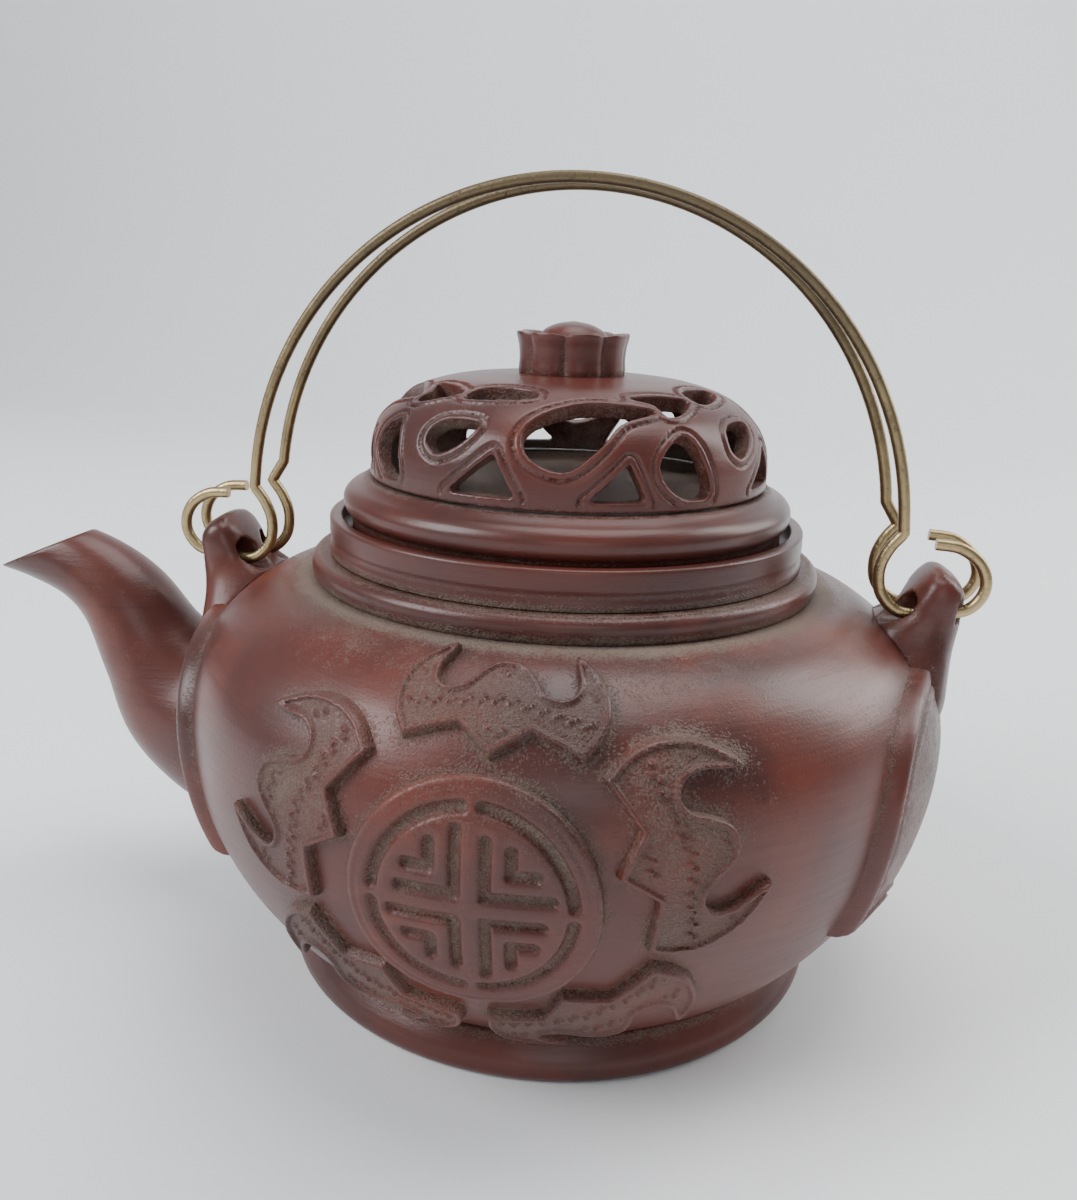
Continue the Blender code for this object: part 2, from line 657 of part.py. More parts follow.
def make_wire(name, side, half_span, rise, brass):
    pivot = add_empty(name + "_axis", (0, side * WIRE_OFFSET, WIRE_PIVOT_HEIGHT))
    curve = bpy.data.curves.new(name, "CURVE")
    curve.dimensions = "3D"
    curve.bevel_depth = WIRE_RADIUS
    curve.bevel_resolution = 2
    curve.use_fill_caps = True
    route = wire_route(half_span, rise)
    line = curve.splines.new("POLY")
    line.points.add(len(route) - 1)
    for point, (x, z) in zip(line.points, route):
        point.co = (x, side * WIRE_OFFSET, z, 1)
    place(bpy.data.objects.new(name, curve), brass, pivot)


def build():
    clear_scene()
    clay = material("red_clay", (0.155, 0.045, 0.032), 0.38)
    brass = material("brass_wire", (0.50, 0.36, 0.16), 0.35, 1.0)
    make_body(clay)
    bore = make_spout(clay)
    guard = belly_guard(GAP)
    for name, side in (("lug_spout_side", -1), ("lug_back_side", 1)):
        make_lug(name, side, clay, guard)
    for name, side in (("spout_plaque", -1), ("back_plaque", 1)):
        lug_guard = lofted(name + "_lug_guard", lug_rings(side, 0.45))
        make_side_plaque(name, side, clay, [lug_guard] + ([bore] if side < 0 else []))
    for face, azimuth in (("front", 0.0), ("back", pi)):
        make_medallion(face, azimuth, clay)
        make_bats(face, azimuth, clay)
    make_lid(clay, add_empty("lid_lift", (0, 0, LEDGE_HEIGHT)))
    for label, (side, half_span, rise) in WIRES.items():
        make_wire("handle_wire_" + label, side, half_span, rise, brass)


build()
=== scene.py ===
# %% [markdown]
# # A red-clay teapot with an openwork lid and a wire handle
#
# A pot like this is made from an iron-rich stoneware that takes no glaze. The belly, the rings, the
# spout, the lugs and the reliefs are shaped one by one, luted together while damp, burnished with a
# horn spatula and fired. Two bent brass wires make the handle. This lesson loads the measured
# design as a fixed frame and builds the finished surfaces around it, piece by piece.

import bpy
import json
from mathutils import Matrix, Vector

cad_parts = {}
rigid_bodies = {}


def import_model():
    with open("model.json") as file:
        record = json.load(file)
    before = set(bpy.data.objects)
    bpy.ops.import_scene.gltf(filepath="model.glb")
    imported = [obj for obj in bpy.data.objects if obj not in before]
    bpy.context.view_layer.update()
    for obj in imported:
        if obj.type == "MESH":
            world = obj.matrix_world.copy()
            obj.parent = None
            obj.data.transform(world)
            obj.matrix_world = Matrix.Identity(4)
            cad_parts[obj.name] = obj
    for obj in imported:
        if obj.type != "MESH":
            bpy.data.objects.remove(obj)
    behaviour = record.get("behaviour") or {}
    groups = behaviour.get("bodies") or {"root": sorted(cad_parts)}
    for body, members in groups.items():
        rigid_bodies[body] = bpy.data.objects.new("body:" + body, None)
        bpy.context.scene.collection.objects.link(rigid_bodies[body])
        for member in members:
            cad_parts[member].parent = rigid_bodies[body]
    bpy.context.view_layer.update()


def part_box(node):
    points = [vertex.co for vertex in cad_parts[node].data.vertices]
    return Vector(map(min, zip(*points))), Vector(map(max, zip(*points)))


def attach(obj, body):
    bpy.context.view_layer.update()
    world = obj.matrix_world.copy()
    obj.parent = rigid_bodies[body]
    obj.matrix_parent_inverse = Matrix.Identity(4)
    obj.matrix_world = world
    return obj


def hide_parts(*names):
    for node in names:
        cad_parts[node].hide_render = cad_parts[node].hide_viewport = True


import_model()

# %% [markdown]
# ## Where things are
# The belly is turned, so the middle of its box in the frame is the pot's axis, and everything turned
# shares it. Lengths are written in millimetres and scaled once.

# %% Read the axis
import json
from math import cos, pi, radians, sin

import bmesh
import bpy
import numpy as np
from mathutils import Matrix, Vector

MM = 0.001
belly_low, belly_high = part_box("belly")
AXIS = Vector(((belly_low.x + belly_high.x) / 2, 0, 0))
print("axis at x = %.1f mm" % (AXIS.x / MM))

# %% [markdown]
# ## Shader sums as plain Python
# A material is a sum of patterns, and sums are easiest to read as sums. `Ink` wraps one output
# socket. Adding, subtracting or multiplying two of them adds the Math node that does it, and a plain
# number may stand on the left of a plus or a minus. Any other node comes from `make`.

# %% One small class for shader maths


class Ink:
    """An output socket of a material's node tree, used like a number."""

    def __init__(self, tree, socket=None):
        self.tree = tree
        self.socket = socket

    def make(self, kind, inputs, settings=None, out=0):
        node = self.tree.nodes.new(kind)
        for name, value in (settings or {}).items():
            setattr(node, name, value)
        for name, value in inputs.items():
            if isinstance(value, Ink):
                self.tree.links.new(value.socket, node.inputs[name])
            else:
                node.inputs[name].default_value = value
        return Ink(self.tree, node.outputs[out])

    def math(self, operation, a, b=0.0):
        return self.make("ShaderNodeMath", {0: a, 1: b}, {"operation": operation})

    def __add__(self, other):
        return self.math("ADD", self, other)

    def __radd__(self, other):
        return self.math("ADD", other, self)

    def __sub__(self, other):
        return self.math("SUBTRACT", self, other)

    def __rsub__(self, other):
        return self.math("SUBTRACT", other, self)

    def __mul__(self, other):
        return self.math("MULTIPLY", self, other)

    def step(self, low, high):
        """0 below low, 1 above high, and a smooth rise between them."""
        settings = {"interpolation_type": "SMOOTHSTEP"}
        return self.make("ShaderNodeMapRange", {"Value": self, "From Min": low, "From Max": high}, settings)

    def noise(self, scale, detail=3.0, rough=0.5, stretch=(1.0, 1.0, 1.0)):
        """A noise value on this vector, with its scale in cycles per metre."""
        vector = self.make("ShaderNodeMapping", {"Vector": self, "Scale": stretch})
        inputs = {"Vector": vector, "Scale": scale, "Detail": detail, "Roughness": rough}
        return self.make("ShaderNodeTexNoise", inputs)

    def attribute(self, name):
        return self.make("ShaderNodeAttribute", {}, {"attribute_name": name}, out="Fac")

    def mix(self, a, b):
        """Colour a where this value is 0 and colour b where it is 1."""
        node = self.tree.nodes.new("ShaderNodeMix")
        node.data_type = "RGBA"
        self.tree.links.new(self.socket, node.inputs["Factor"])
        for name, colour in (("A", a), ("B", b)):
            socket = next(s for s in node.inputs if s.name == name and s.type == "RGBA")
            if isinstance(colour, Ink):
                self.tree.links.new(colour.socket, socket)
            else:
                socket.default_value = (*colour, 1.0)
        return Ink(self.tree, next(s for s in node.outputs if s.type == "RGBA"))


def new_finish(name):
    """A fresh material, its Principled shader and an Ink to start sums from."""
    finish = bpy.data.materials.new(name)
    finish.use_nodes = True
    return finish, finish.node_tree.nodes["Principled BSDF"], Ink(finish.node_tree)


def feed(shader, **sources):
    """Link sums to a shader's sockets, or set plain numbers on them."""
    for name, value in sources.items():
        socket = shader.inputs[name.replace("_", " ")]
        if isinstance(value, Ink):
            value.tree.links.new(value.socket, socket)
        else:
            socket.default_value = value


print("shader helper ready")

# %% [markdown]
# ## The clay
# Burnished clay is dark red-brown with purple and orange clouds a few centimetres wide, a fine
# grain of iron specks, and faint rings left by the spatula. Where a hand or a cloth can't reach,
# grey dust settles. The dust follows a value that each mesh carries at its points, called `dust`,
# and noise breaks its edge up, so that it never looks like paint.

# %% Make the clay finish
CLAY_DEEP = (0.036, 0.010, 0.008)
CLAY_RED = (0.100, 0.022, 0.015)
CLAY_PURPLE = (0.056, 0.018, 0.015)
CLAY_WARM = (0.160, 0.036, 0.020)
SPECK = (0.032, 0.013, 0.012)
DUST = (0.190, 0.155, 0.122)

# Noise scales in cycles per metre, from clouds a few centimetres wide down to the finest grain.
CLOUD_SCALE = 26.0
WARMTH_SCALE = 48.0
STREAK_SCALE = 60.0
PATCH_SCALE = 70.0
SMEAR_SCALE = 520.0
SPECK_SCALE = 1500.0
GRAIN_SCALE = 2600.0
CRUMB_SCALE = 2900.0
STREAK_STRETCH = (1.0, 1.0, 16.0)
CLAY_BUMP = 0.00014
CLAY_SPECULAR = 0.42
BURNISH = 0.10


def clay_finish(name, gloss, grain=1.0):
    finish, shader, ink = new_finish(name)
    place = ink.make("ShaderNodeTexCoord", {}, out="Object")
    clouds = place.noise(CLOUD_SCALE, 5.0, 0.55).step(0.36, 0.66)
    warmth = place.noise(WARMTH_SCALE, 4.0, 0.6).step(0.48, 0.74)
    specks = place.noise(SPECK_SCALE, 2.0, 0.5).step(0.66, 0.74)
    streaks = place.noise(STREAK_SCALE, 3.0, 0.6, STREAK_STRETCH)
    fine = place.noise(GRAIN_SCALE, 2.0, 0.6)
    colour = clouds.mix(CLAY_PURPLE, CLAY_RED)
    colour = (warmth * 0.55).mix(colour, CLAY_WARM)
    colour = (streaks.step(0.52, 0.80) * 0.35).mix(colour, CLAY_DEEP)
    colour = (specks * 0.6).mix(colour, SPECK)
    breakup = place.noise(SMEAR_SCALE, 4.0, 0.7) * 0.5 + place.noise(CRUMB_SCALE, 2.0, 0.6) * 0.9 - 0.7
    patches = place.noise(PATCH_SCALE, 3.0, 0.6) - 0.5
    dust = ink.attribute("dust")
    dust = (dust + breakup * 1.2 + patches * 0.5).step(0.24, 0.80)
    colour = (dust * 0.68).mix(colour, DUST)
    rough = gloss + clouds * 0.05 + streaks * 0.10 + dust * 0.45
    relief = fine * (0.25 + dust * 1.4) + streaks * 0.5 + breakup * dust * 1.2
    bump = ink.make("ShaderNodeBump", {"Height": relief, "Distance": CLAY_BUMP * grain, "Strength": 0.8})
    burnish = (1.0 - dust) * BURNISH
    feed(shader, Base_Color=colour, Roughness=rough, Coat_Weight=burnish, Coat_Roughness=0.22, Normal=bump)
    shader.inputs["Specular IOR Level"].default_value = CLAY_SPECULAR
    return finish


CLAY = clay_finish("burnished_clay", gloss=0.28)
CLAY_RELIEF = clay_finish("relief_clay", gloss=0.32, grain=1.6)
CLAY_LID = clay_finish("lid_clay", gloss=0.27)
print("clay finishes:", CLAY.name, CLAY_RELIEF.name, CLAY_LID.name)

# %% [markdown]
# ## The brass
# The handle is drawn wire, bent cold. Its colour runs from bright yellow at the lower ends to a
# darker brown towards the top of the arch. Fine marks run across the wire, so the pattern reads a
# distance that the mesh carries along the wire, called `along`.

# %% Make the brass finish
BRASS_GOLD = (0.440, 0.335, 0.180)
BRASS_BROWN = (0.150, 0.115, 0.070)
BRASS_DARK = (0.060, 0.042, 0.026)
MARK_SCALE = 1400.0
BLOTCH_SCALE = 160.0
PIT_SCALE = 1600.0
DENT_SCALE = 700.0
# Heights in mm over which the brass changes from gold to a darker brown towards the top of the arch.
BROWN_FROM_HEIGHT = 92.0
BROWN_TO_HEIGHT = 146.0
BRASS_BUMP = 0.00016


def brass_finish():
    finish, shader, ink = new_finish("brass_wire")
    place = ink.make("ShaderNodeTexCoord", {}, out="Object")
    along = ink.attribute("along")
    height = place.make("ShaderNodeSeparateXYZ", {"Vector": place}, out="Z")
    ring = ink.make("ShaderNodeCombineXYZ", {"X": along})
    marks = ring.noise(MARK_SCALE, 3.0, 0.7)
    blotch = place.noise(BLOTCH_SCALE, 4.0, 0.65)
    # Darker brown towards the top of the arch, set by height, with a blotchy edge.
    upper_brown = (height * 1000.0 + blotch * 46.0).step(BROWN_FROM_HEIGHT, BROWN_TO_HEIGHT)
    colour = upper_brown.mix(BRASS_GOLD, BRASS_BROWN)
    pits = (place.noise(PIT_SCALE, 3.0, 0.6) + blotch * 0.3).step(0.70, 0.95)
    colour = (pits * 0.6).mix(colour, BRASS_DARK)
    rough = 0.26 + marks * 0.16 + upper_brown * 0.12 + pits * 0.25
    relief = marks * 0.8 + place.noise(DENT_SCALE, 2.0, 0.5) * 0.6
    bump = ink.make("ShaderNodeBump", {"Height": relief, "Distance": BRASS_BUMP, "Strength": 0.9})
    feed(shader, Base_Color=colour, Metallic=1.0, Roughness=rough, Normal=bump)
    return finish


BRASS = brass_finish()
print("brass finish:", BRASS.name)

# %% [markdown]
# ## Curves and skins
# A potter works to a template of the outline. Here the template is a few points, and a smooth curve
# runs through them. `Skin` turns that curve into a surface that can be asked for any point on it: so
# far up the outline, so far round, so far out.

# %% Smooth curves and turned skins
SKIN_STEPS = 24


def smooth_line(points, steps, closed=False):
    """Points of a Catmull-Rom curve through the given points."""
    pts = np.array(points, float)
    if closed:
        padded = np.vstack((pts[-1:], pts, pts[:2]))
    else:
        padded = np.vstack((2 * pts[0] - pts[1], pts, 2 * pts[-1] - pts[-2]))
    t = np.arange(steps)[:, None] / steps
    out = []
    for a, b, c, d in zip(padded, padded[1:], padded[2:], padded[3:]):
        out.append(0.5 * (2 * b + (c - a) * t + (2 * a - 5 * b + 4 * c - d) * t ** 2
                          + (3 * b - a - 3 * c + d) * t ** 3))
    if not closed:
        out.append(pts[-1:])
    return np.vstack(out)


def ease(values, low, high):
    """0 below low, 1 above high, smooth between."""
    t = np.clip((values - low) / (high - low), 0, 1)
    return t * t * (3 - 2 * t)


def round_turn(count):
    """Evenly spaced angles round a full turn."""
    return np.linspace(0, 2 * pi, count + 1)[:-1]


class Skin:
    """A turned surface from an outline of (radius, height) points, low end first, in metres."""

    def __init__(self, outline):
        self.line = smooth_line(np.array(outline) * MM, SKIN_STEPS)
        self.far = np.concatenate(([0], np.cumsum(np.hypot(*np.diff(self.line, axis=0).T))))
        slope = np.gradient(self.line, self.far, axis=0)
        slope /= np.linalg.norm(slope, axis=1)[:, None]
        self.out = np.column_stack((slope[:, 1], -slope[:, 0]))

    def at(self, far):
        """Radius, height and outward direction at distances up the outline."""
        columns = (self.line[:, 0], self.line[:, 1], self.out[:, 0], self.out[:, 1])
        return [np.interp(far, self.far, column) for column in columns]

    def point(self, around, far, lift):
        """Points at angles from -Y towards +X, distances up the outline and heights above the skin."""
        r, z, out_r, out_z = self.at(far)
        reach = r + out_r * lift
        return np.column_stack((reach * np.sin(around), -reach * np.cos(around), z + out_z * lift))

    def far_at_height(self, z):
        return np.interp(z, self.line[:, 1], self.far)


BELLY = Skin([
    (45.4, 7.3), (49.4, 10.6), (53.9, 15.6), (58.2, 22.0), (61.6, 29.4), (63.6, 36.8), (64.5, 44.0),
    (64.2, 50.6), (62.2, 57.0), (58.0, 62.8), (51.8, 67.2), (45.0, 69.4)])
DOME = Skin([
    (33.8, 86.3), (33.8, 89.5), (33.3, 93.2), (31.5, 97.0), (27.3, 100.3), (20.4, 102.6), (12.0, 103.6)])
print("belly outline %.1f mm long, dome outline %.1f mm" % (BELLY.far[-1] / MM, DOME.far[-1] / MM))

# %% [markdown]
# ## From points to a finished piece
# `settle` is the last step for every piece: it moves the mesh from the pot's axis to its place in
# the frame, shades it, gives it its dust, parents it to the body that carries it and hides the
# frame's node that it stands for.

# %% Settle a piece in the frame
# Edges that turn by more than these degrees stay sharp in the shading.
CREASE_TURNED = 38
CREASE_SWEPT = 50
CREASE_CUT = 60
CREASE_RUBBED = 80


def mesh_from(name, points, faces):
    mesh = bpy.data.meshes.new(name)
    mesh.from_pydata([tuple(p) for p in points], [], faces)
    mesh.update()
    return mesh


def places(mesh):
    """The mesh's points as an array, measured from the pot's axis."""
    flat = np.zeros(len(mesh.vertices) * 3, np.float32)
    mesh.vertices.foreach_get("co", flat)
    return flat.reshape(-1, 3).astype(float)


def from_axis(points):
    """Distance of each point from the pot's axis."""
    return np.hypot(points[:, 0], points[:, 1])


def radially(points):
    """A level unit direction from the pot's axis towards each point."""
    return points * (1, 1, 0) / np.maximum(from_axis(points), 1e-6)[:, None]


def move_points(mesh, points):
    mesh.vertices.foreach_set("co", points.astype(np.float32).ravel())
    mesh.update()


def signed_volume(mesh):
    bm = bmesh.new()
    bm.from_mesh(mesh)
    volume = bm.calc_volume(signed=True)
    bm.free()
    return volume


def facing_out(mesh):
    """The mesh with its faces turned outwards."""
    if signed_volume(mesh) < 0:
        mesh.flip_normals()
    return mesh


def evaluated(thing):
    """A plain mesh of an object with its modifiers worked out, and the object removed."""
    bpy.context.view_layer.update()
    mesh = bpy.data.meshes.new_from_object(thing.evaluated_get(bpy.context.evaluated_depsgraph_get()))
    bpy.data.objects.remove(thing, do_unlink=True)
    return mesh


def working_object(mesh):
    thing = bpy.data.objects.new(mesh.name, mesh)
    bpy.context.scene.collection.objects.link(thing)
    return thing


def settle(name, mesh, node, body, finish, dust=None, crease=CREASE_TURNED):
    facing_out(mesh)
    if dust is not None:
        layer = mesh.attributes.get("dust") or mesh.attributes.new("dust", "FLOAT", "POINT")
        layer.data.foreach_set("value", np.clip(dust(places(mesh)), 0, 1).astype(np.float32))
    mesh.transform(Matrix.Translation(AXIS))
    mesh.shade_smooth()
    mesh.set_sharp_from_angle(angle=radians(crease))
    mesh.materials.clear()
    mesh.materials.append(finish)
    mesh.name = name
    piece = bpy.data.objects.new(name, mesh)
    bpy.context.scene.collection.objects.link(piece)
    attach(piece, body)
    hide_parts(node)
    print("%-24s %6d points" % (name, len(mesh.vertices)))


def settle_clay(node, mesh, dust, body="pot", finish=CLAY, crease=CREASE_TURNED):
    settle("fine_" + node, mesh, node, body, finish, dust, crease)


# %% [markdown]
# ## Turning on the wheel
# Nine pieces start as bodies of revolution. A Screw modifier could turn them, but a Geometry Nodes
# tree shows the idea plainly: a grid has one column of points for each angle, and each point looks
# up its radius and height from the profile and swings round the axis. Points that land on each
# other, at the seam and on the axis, are merged.

# %% A turning tree in Geometry Nodes


class Bench:
    """A Geometry Nodes tree under construction, with short calls for its nodes."""

    def __init__(self, name, sockets):
        self.tree = bpy.data.node_groups.new(name, "GeometryNodeTree")
        self.ids = {}
        for label, kind in {"Geometry": "NodeSocketGeometry", **sockets}.items():
            socket = self.tree.interface.new_socket(label, in_out="INPUT", socket_type=kind)
            self.ids[label] = socket.identifier
        self.tree.interface.new_socket("Geometry", in_out="OUTPUT", socket_type="NodeSocketGeometry")
        self.given = self.tree.nodes.new("NodeGroupInput")

    def node(self, kind, inputs=None, out=0, **settings):
        node = self.tree.nodes.new(kind)
        for name, value in settings.items():
            setattr(node, name, value)
        for name, value in (inputs or {}).items():
            if isinstance(value, bpy.types.NodeSocket):
                self.tree.links.new(value, node.inputs[name])
            else:
                node.inputs[name].default_value = value
        return node.outputs[out]

    def math(self, operation, a, b=0.0):
        return self.node("ShaderNodeMath", {0: a, 1: b}, operation=operation)

    def close(self, geometry):
        """End the tree with real geometry that carries its material."""
        real = self.node("GeometryNodeRealizeInstances", {"Geometry": geometry})
        finish = self.given.outputs["Finish"]
        clad = self.node("GeometryNodeSetMaterial", {"Geometry": real, "Material": finish})
        end = self.tree.nodes.new("NodeGroupOutput")
        self.tree.links.new(clad, end.inputs["Geometry"])

    def run(self, mesh, **values):
        """Apply the tree to a mesh or curve with named input values and return a plain mesh."""
        thing = working_object(mesh)
        step = thing.modifiers.new(self.tree.name, "NODES")
        step.node_group = self.tree
        for label, value in values.items():
            step[self.ids[label]] = value
        return evaluated(thing)


def turning_bench():
    bench = Bench("turning", {"Columns": "NodeSocketInt", "Finish": "NodeSocketMaterial"})
    profile = bench.given.outputs["Geometry"]
    columns = bench.given.outputs["Columns"]
    rows = bench.node("GeometryNodeAttributeDomainSize", {"Geometry": profile}, component="MESH")
    across = bench.math("ADD", columns, 1.0)
    grid = bench.node("GeometryNodeMeshGrid", {"Vertices X": across, "Vertices Y": rows})
    index = bench.node("GeometryNodeInputIndex")
    row = bench.math("MODULO", index, rows)
    column = bench.math("FLOOR", bench.math("DIVIDE", index, rows))
    turn = bench.math("DIVIDE", bench.math("MULTIPLY", column, 2 * pi), columns)
    position = bench.node("GeometryNodeInputPosition")
    found = bench.node("GeometryNodeSampleIndex", {"Geometry": profile, "Value": position, "Index": row},
                       data_type="FLOAT_VECTOR")
    swung = bench.node("ShaderNodeVectorRotate", {"Vector": found, "Angle": turn}, rotation_type="Z_AXIS")
    shaped = bench.node("GeometryNodeSetPosition", {"Geometry": grid, "Position": swung})
    bench.close(bench.node("GeometryNodeMergeByDistance", {"Geometry": shaped, "Distance": 0.000001}))
    return bench


TURNING = turning_bench()


def rounded(corners, steps=5):
    """A profile with each (radius, height, rounding) corner eased by a short curve, in metres."""
    line = []
    count = len(corners)
    for i, (r, z, ease_by) in enumerate(corners):
        here = np.array((r, z), float)
        if not ease_by:
            line.append(here)
            continue
        before = np.array(corners[i - 1][:2], float) - here
        after = np.array(corners[(i + 1) % count][:2], float) - here
        a = here + before / np.linalg.norm(before) * min(ease_by, np.linalg.norm(before) * 0.49)
        b = here + after / np.linalg.norm(after) * min(ease_by, np.linalg.norm(after) * 0.49)
        for t in np.linspace(0, 1, steps):
            line.append((1 - t) ** 2 * a + 2 * t * (1 - t) * here + t ** 2 * b)
    return np.array(line) * MM


def turned(profile, columns, closed=True):
    """The mesh of a profile of (radius, height) points in metres, turned about the pot's axis."""
    points = [(r, 0.0, z) for r, z in profile]
    if closed:
        points.append(points[0])
    return TURNING.run(mesh_from("profile", points, []), Columns=columns, Finish=CLAY)


def near_rings(spots):
    """Dust that gathers near circles round the axis, each (radius, height, width, amount) in mm."""
    def dust(points):
        radius = from_axis(points)
        total = np.zeros(len(points))
        for r, z, width, amount in spots:
            away = np.hypot(radius - r * MM, points[:, 2] - z * MM)
            total = np.maximum(total, amount * np.exp(-(away / (width * MM)) ** 2))
        return total
    return dust


print("turning tree has", len(TURNING.tree.nodes), "nodes")

# %% [markdown]
# ## A hand's small errors
# Nothing turned and luted by hand is exact. `waver` is a sum of slow waves that moves a surface by a
# few hundredths of a millimetre, enough to make highlights swim a little and not enough to change a
# fit.

# %% Hand-made unevenness
# Closer to the axis than this the unevenness fades out.
STILL_RADIUS = 8.0


def waver(points, amount):
    """A slow uneven movement at each point, up to about `amount` millimetres each way."""
    x, y, z = points.T / MM
    wave = np.sin(x * 0.21 + 1.3) * np.sin(y * 0.17 + 0.4) + np.sin(z * 0.33 + x * 0.06)
    wave += np.sin(y * 0.29 - z * 0.12 + 2.1) * 0.7 + np.sin(x * 0.11 - y * 0.13 + z * 0.09)
    return wave * amount * MM / 3


def swell(mesh, amount):
    """Move a mesh's points in and out from the pot's axis by the waver."""
    points = places(mesh)
    steady = np.clip(from_axis(points) / (STILL_RADIUS * MM), 0, 1)
    move_points(mesh, points + radially(points) * (waver(points, amount) * steady)[:, None])
    return mesh


def cut(mesh, cutter):
    """One mesh cut by another."""
    thing = working_object(mesh)
    tool = working_object(cutter)
    step = thing.modifiers.new("cut", "BOOLEAN")
    step.operation = "DIFFERENCE"
    step.solver = "MANIFOLD"
    step.object = tool
    made = evaluated(thing)
    bpy.data.objects.remove(tool, do_unlink=True)
    return made


def softened(mesh, cell, rounds):
    """A mesh rebuilt in small even cells and rubbed smooth, as a damp finger does to an edge."""
    thing = working_object(mesh)
    cells = thing.modifiers.new("cells", "REMESH")
    cells.mode = "VOXEL"
    cells.voxel_size = cell * MM
    rub = thing.modifiers.new("rub", "SMOOTH")
    rub.factor = 0.5
    rub.iterations = rounds
    return evaluated(thing)


def lofted(rings):
    """A closed skin over rings of equal point counts, with a fan at each end."""
    count = len(rings[0])
    points = [p for ring in rings for p in ring]
    faces = []
    for row in range(len(rings) - 1):
        for i in range(count):
            j = (i + 1) % count
            faces.append((row * count + i, row * count + j, (row + 1) * count + j, (row + 1) * count + i))
    for ring, base, order in ((rings[0], 0, -1), (rings[-1], (len(rings) - 1) * count, 1)):
        middle = len(points)
        points.append(np.mean(ring, axis=0))
        for i in range(count):
            j = (i + 1) % count
            faces.append((base + i, base + j, middle)[::order])
    return facing_out(mesh_from("loft", points, faces))


print("cutting, softening and lofting ready")

# %% [markdown]
# ## Reliefs: little slabs of clay on the skin
# A bat, a medallion or a plaque is a slab that is cut to an outline, pressed or carved on its face,
# and luted to the belly with slip. `slab` follows that order. It fills a flat outline with a fine
# mesh, asks a `face` rule how high and how dusty each point is, from its place and its distance to
# the edge, and lays the whole thing on the skin with a `lay` rule. Its underside reaches 0.25 mm
# into the belly, as slip would.

# %% Slabs with a carved face
from mathutils.geometry import delaunay_2d_cdt
from mathutils.kdtree import KDTree

RELIEF_EDGES = []
EDGE_STEP = 0.8
SINK = -0.25
BATCH = 4000
SEARCH_ROUNDS = 8

# In mesh cells: the two rows that follow an edge and the room they need, then the same for the grid.
ROW_REACHES = (0.45, 1.1)
ROW_ROOM = 0.93
GRID_ROOM = 1.7
GRID_SHIFT = 0.37


def away_from(points, lines, closed=True):
    """Distance from 2-D points to the nearest of some lines."""
    starts = np.vstack([line if closed else line[:-1] for line in lines])
    ends = np.vstack([np.roll(line, -1, axis=0) if closed else line[1:] for line in lines])
    along = ends - starts
    size = np.maximum((along ** 2).sum(1), 1e-18)
    best = np.empty(len(points))
    for k in range(0, len(points), BATCH):
        gap = points[k:k + BATCH, None] - starts
        t = np.clip((gap * along).sum(2) / size, 0, 1)
        best[k:k + BATCH] = np.sqrt(((gap - along * t[..., None]) ** 2).sum(2).min(1))
    return best


def is_inside(points, line):
    """Whether 2-D points lie inside a closed line."""
    inside = np.zeros(len(points), bool)
    for (ax, ay), (bx, by) in zip(line, np.roll(line, -1, axis=0)):
        if ay == by:
            continue
        crosses = (ay > points[:, 1]) != (by > points[:, 1])
        inside ^= crosses & (points[:, 0] < (bx - ax) * (points[:, 1] - ay) / (by - ay) + ax)
    return inside


def spaced(line, gap):
    """A closed line walked in nearly even steps, keeping its corners."""
    out = []
    for a, b in zip(line, np.roll(line, -1, axis=0)):
        steps = max(1, round(np.linalg.norm(b - a) / gap))
        out.extend(a + (b - a) * k / steps for k in range(steps))
    return np.array(out)


def filled(outline, cell):
    """Points and triangles that fill a closed outline, finer along its edge."""
    edge = spaced(outline, cell)
    after = np.roll(edge, -1, axis=0) - np.roll(edge, 1, axis=0)
    inward = np.column_stack((-after[:, 1], after[:, 0])) / np.linalg.norm(after, axis=1)[:, None]
    area = (edge[:, 0] * np.roll(edge[:, 1], -1) - np.roll(edge[:, 0], -1) * edge[:, 1]).sum()
    inward *= np.sign(area)
    low = edge.min(0)
    across = np.ceil((edge.max(0) - low) / cell).astype(int)
    grid = np.stack(np.meshgrid(*(np.arange(n) * cell for n in across)), -1).reshape(-1, 2)
    grid = grid + low + cell * GRID_SHIFT
    sets = []
    for reach in ROW_REACHES:
        ring = edge + inward * reach * cell
        sets.append(ring[is_inside(ring, edge) & (away_from(ring, [edge]) > reach * cell * ROW_ROOM)])
    grid = grid[is_inside(grid, edge)]
    sets.append(grid[away_from(grid, [edge]) > GRID_ROOM * cell])
    points = np.vstack([edge] + sets)
    count = len(edge)
    made = delaunay_2d_cdt([Vector(p) for p in points], [(i, (i + 1) % count) for i in range(count)],
                           [list(range(count))], 1, 1e-9)
    return np.array([tuple(p) for p in made[0]]), made[2]


def slab(outline, cell, face, lay):
    """A relief's mesh: its outline in millimetres, its mesh size, its face rule and its lay rule."""
    flat, triangles = filled(outline, cell)
    away = away_from(flat, [outline])
    lift, dust = face(flat, away)
    top = lay(flat, lift)
    low = lay(flat, np.full(len(flat), SINK))
    count = len(flat)
    faces = [tuple(t) for t in triangles] + [tuple(i + count for i in reversed(t)) for t in triangles]
    used = {(a, b) for t in triangles for a, b in zip(t, t[1:] + t[:1])}
    faces += [(b, a, a + count, b + count) for a, b in used if (b, a) not in used]
    mesh = mesh_from("slab", np.vstack((top, low)), faces)
    layer = mesh.attributes.new("dust", "FLOAT", "POINT")
    layer.data.foreach_set("value", np.concatenate((dust, np.full(count, 0.5))).astype(np.float32))
    edge = spaced(outline, EDGE_STEP)
    RELIEF_EDGES.append(lay(edge, np.zeros(len(edge))))
    return mesh


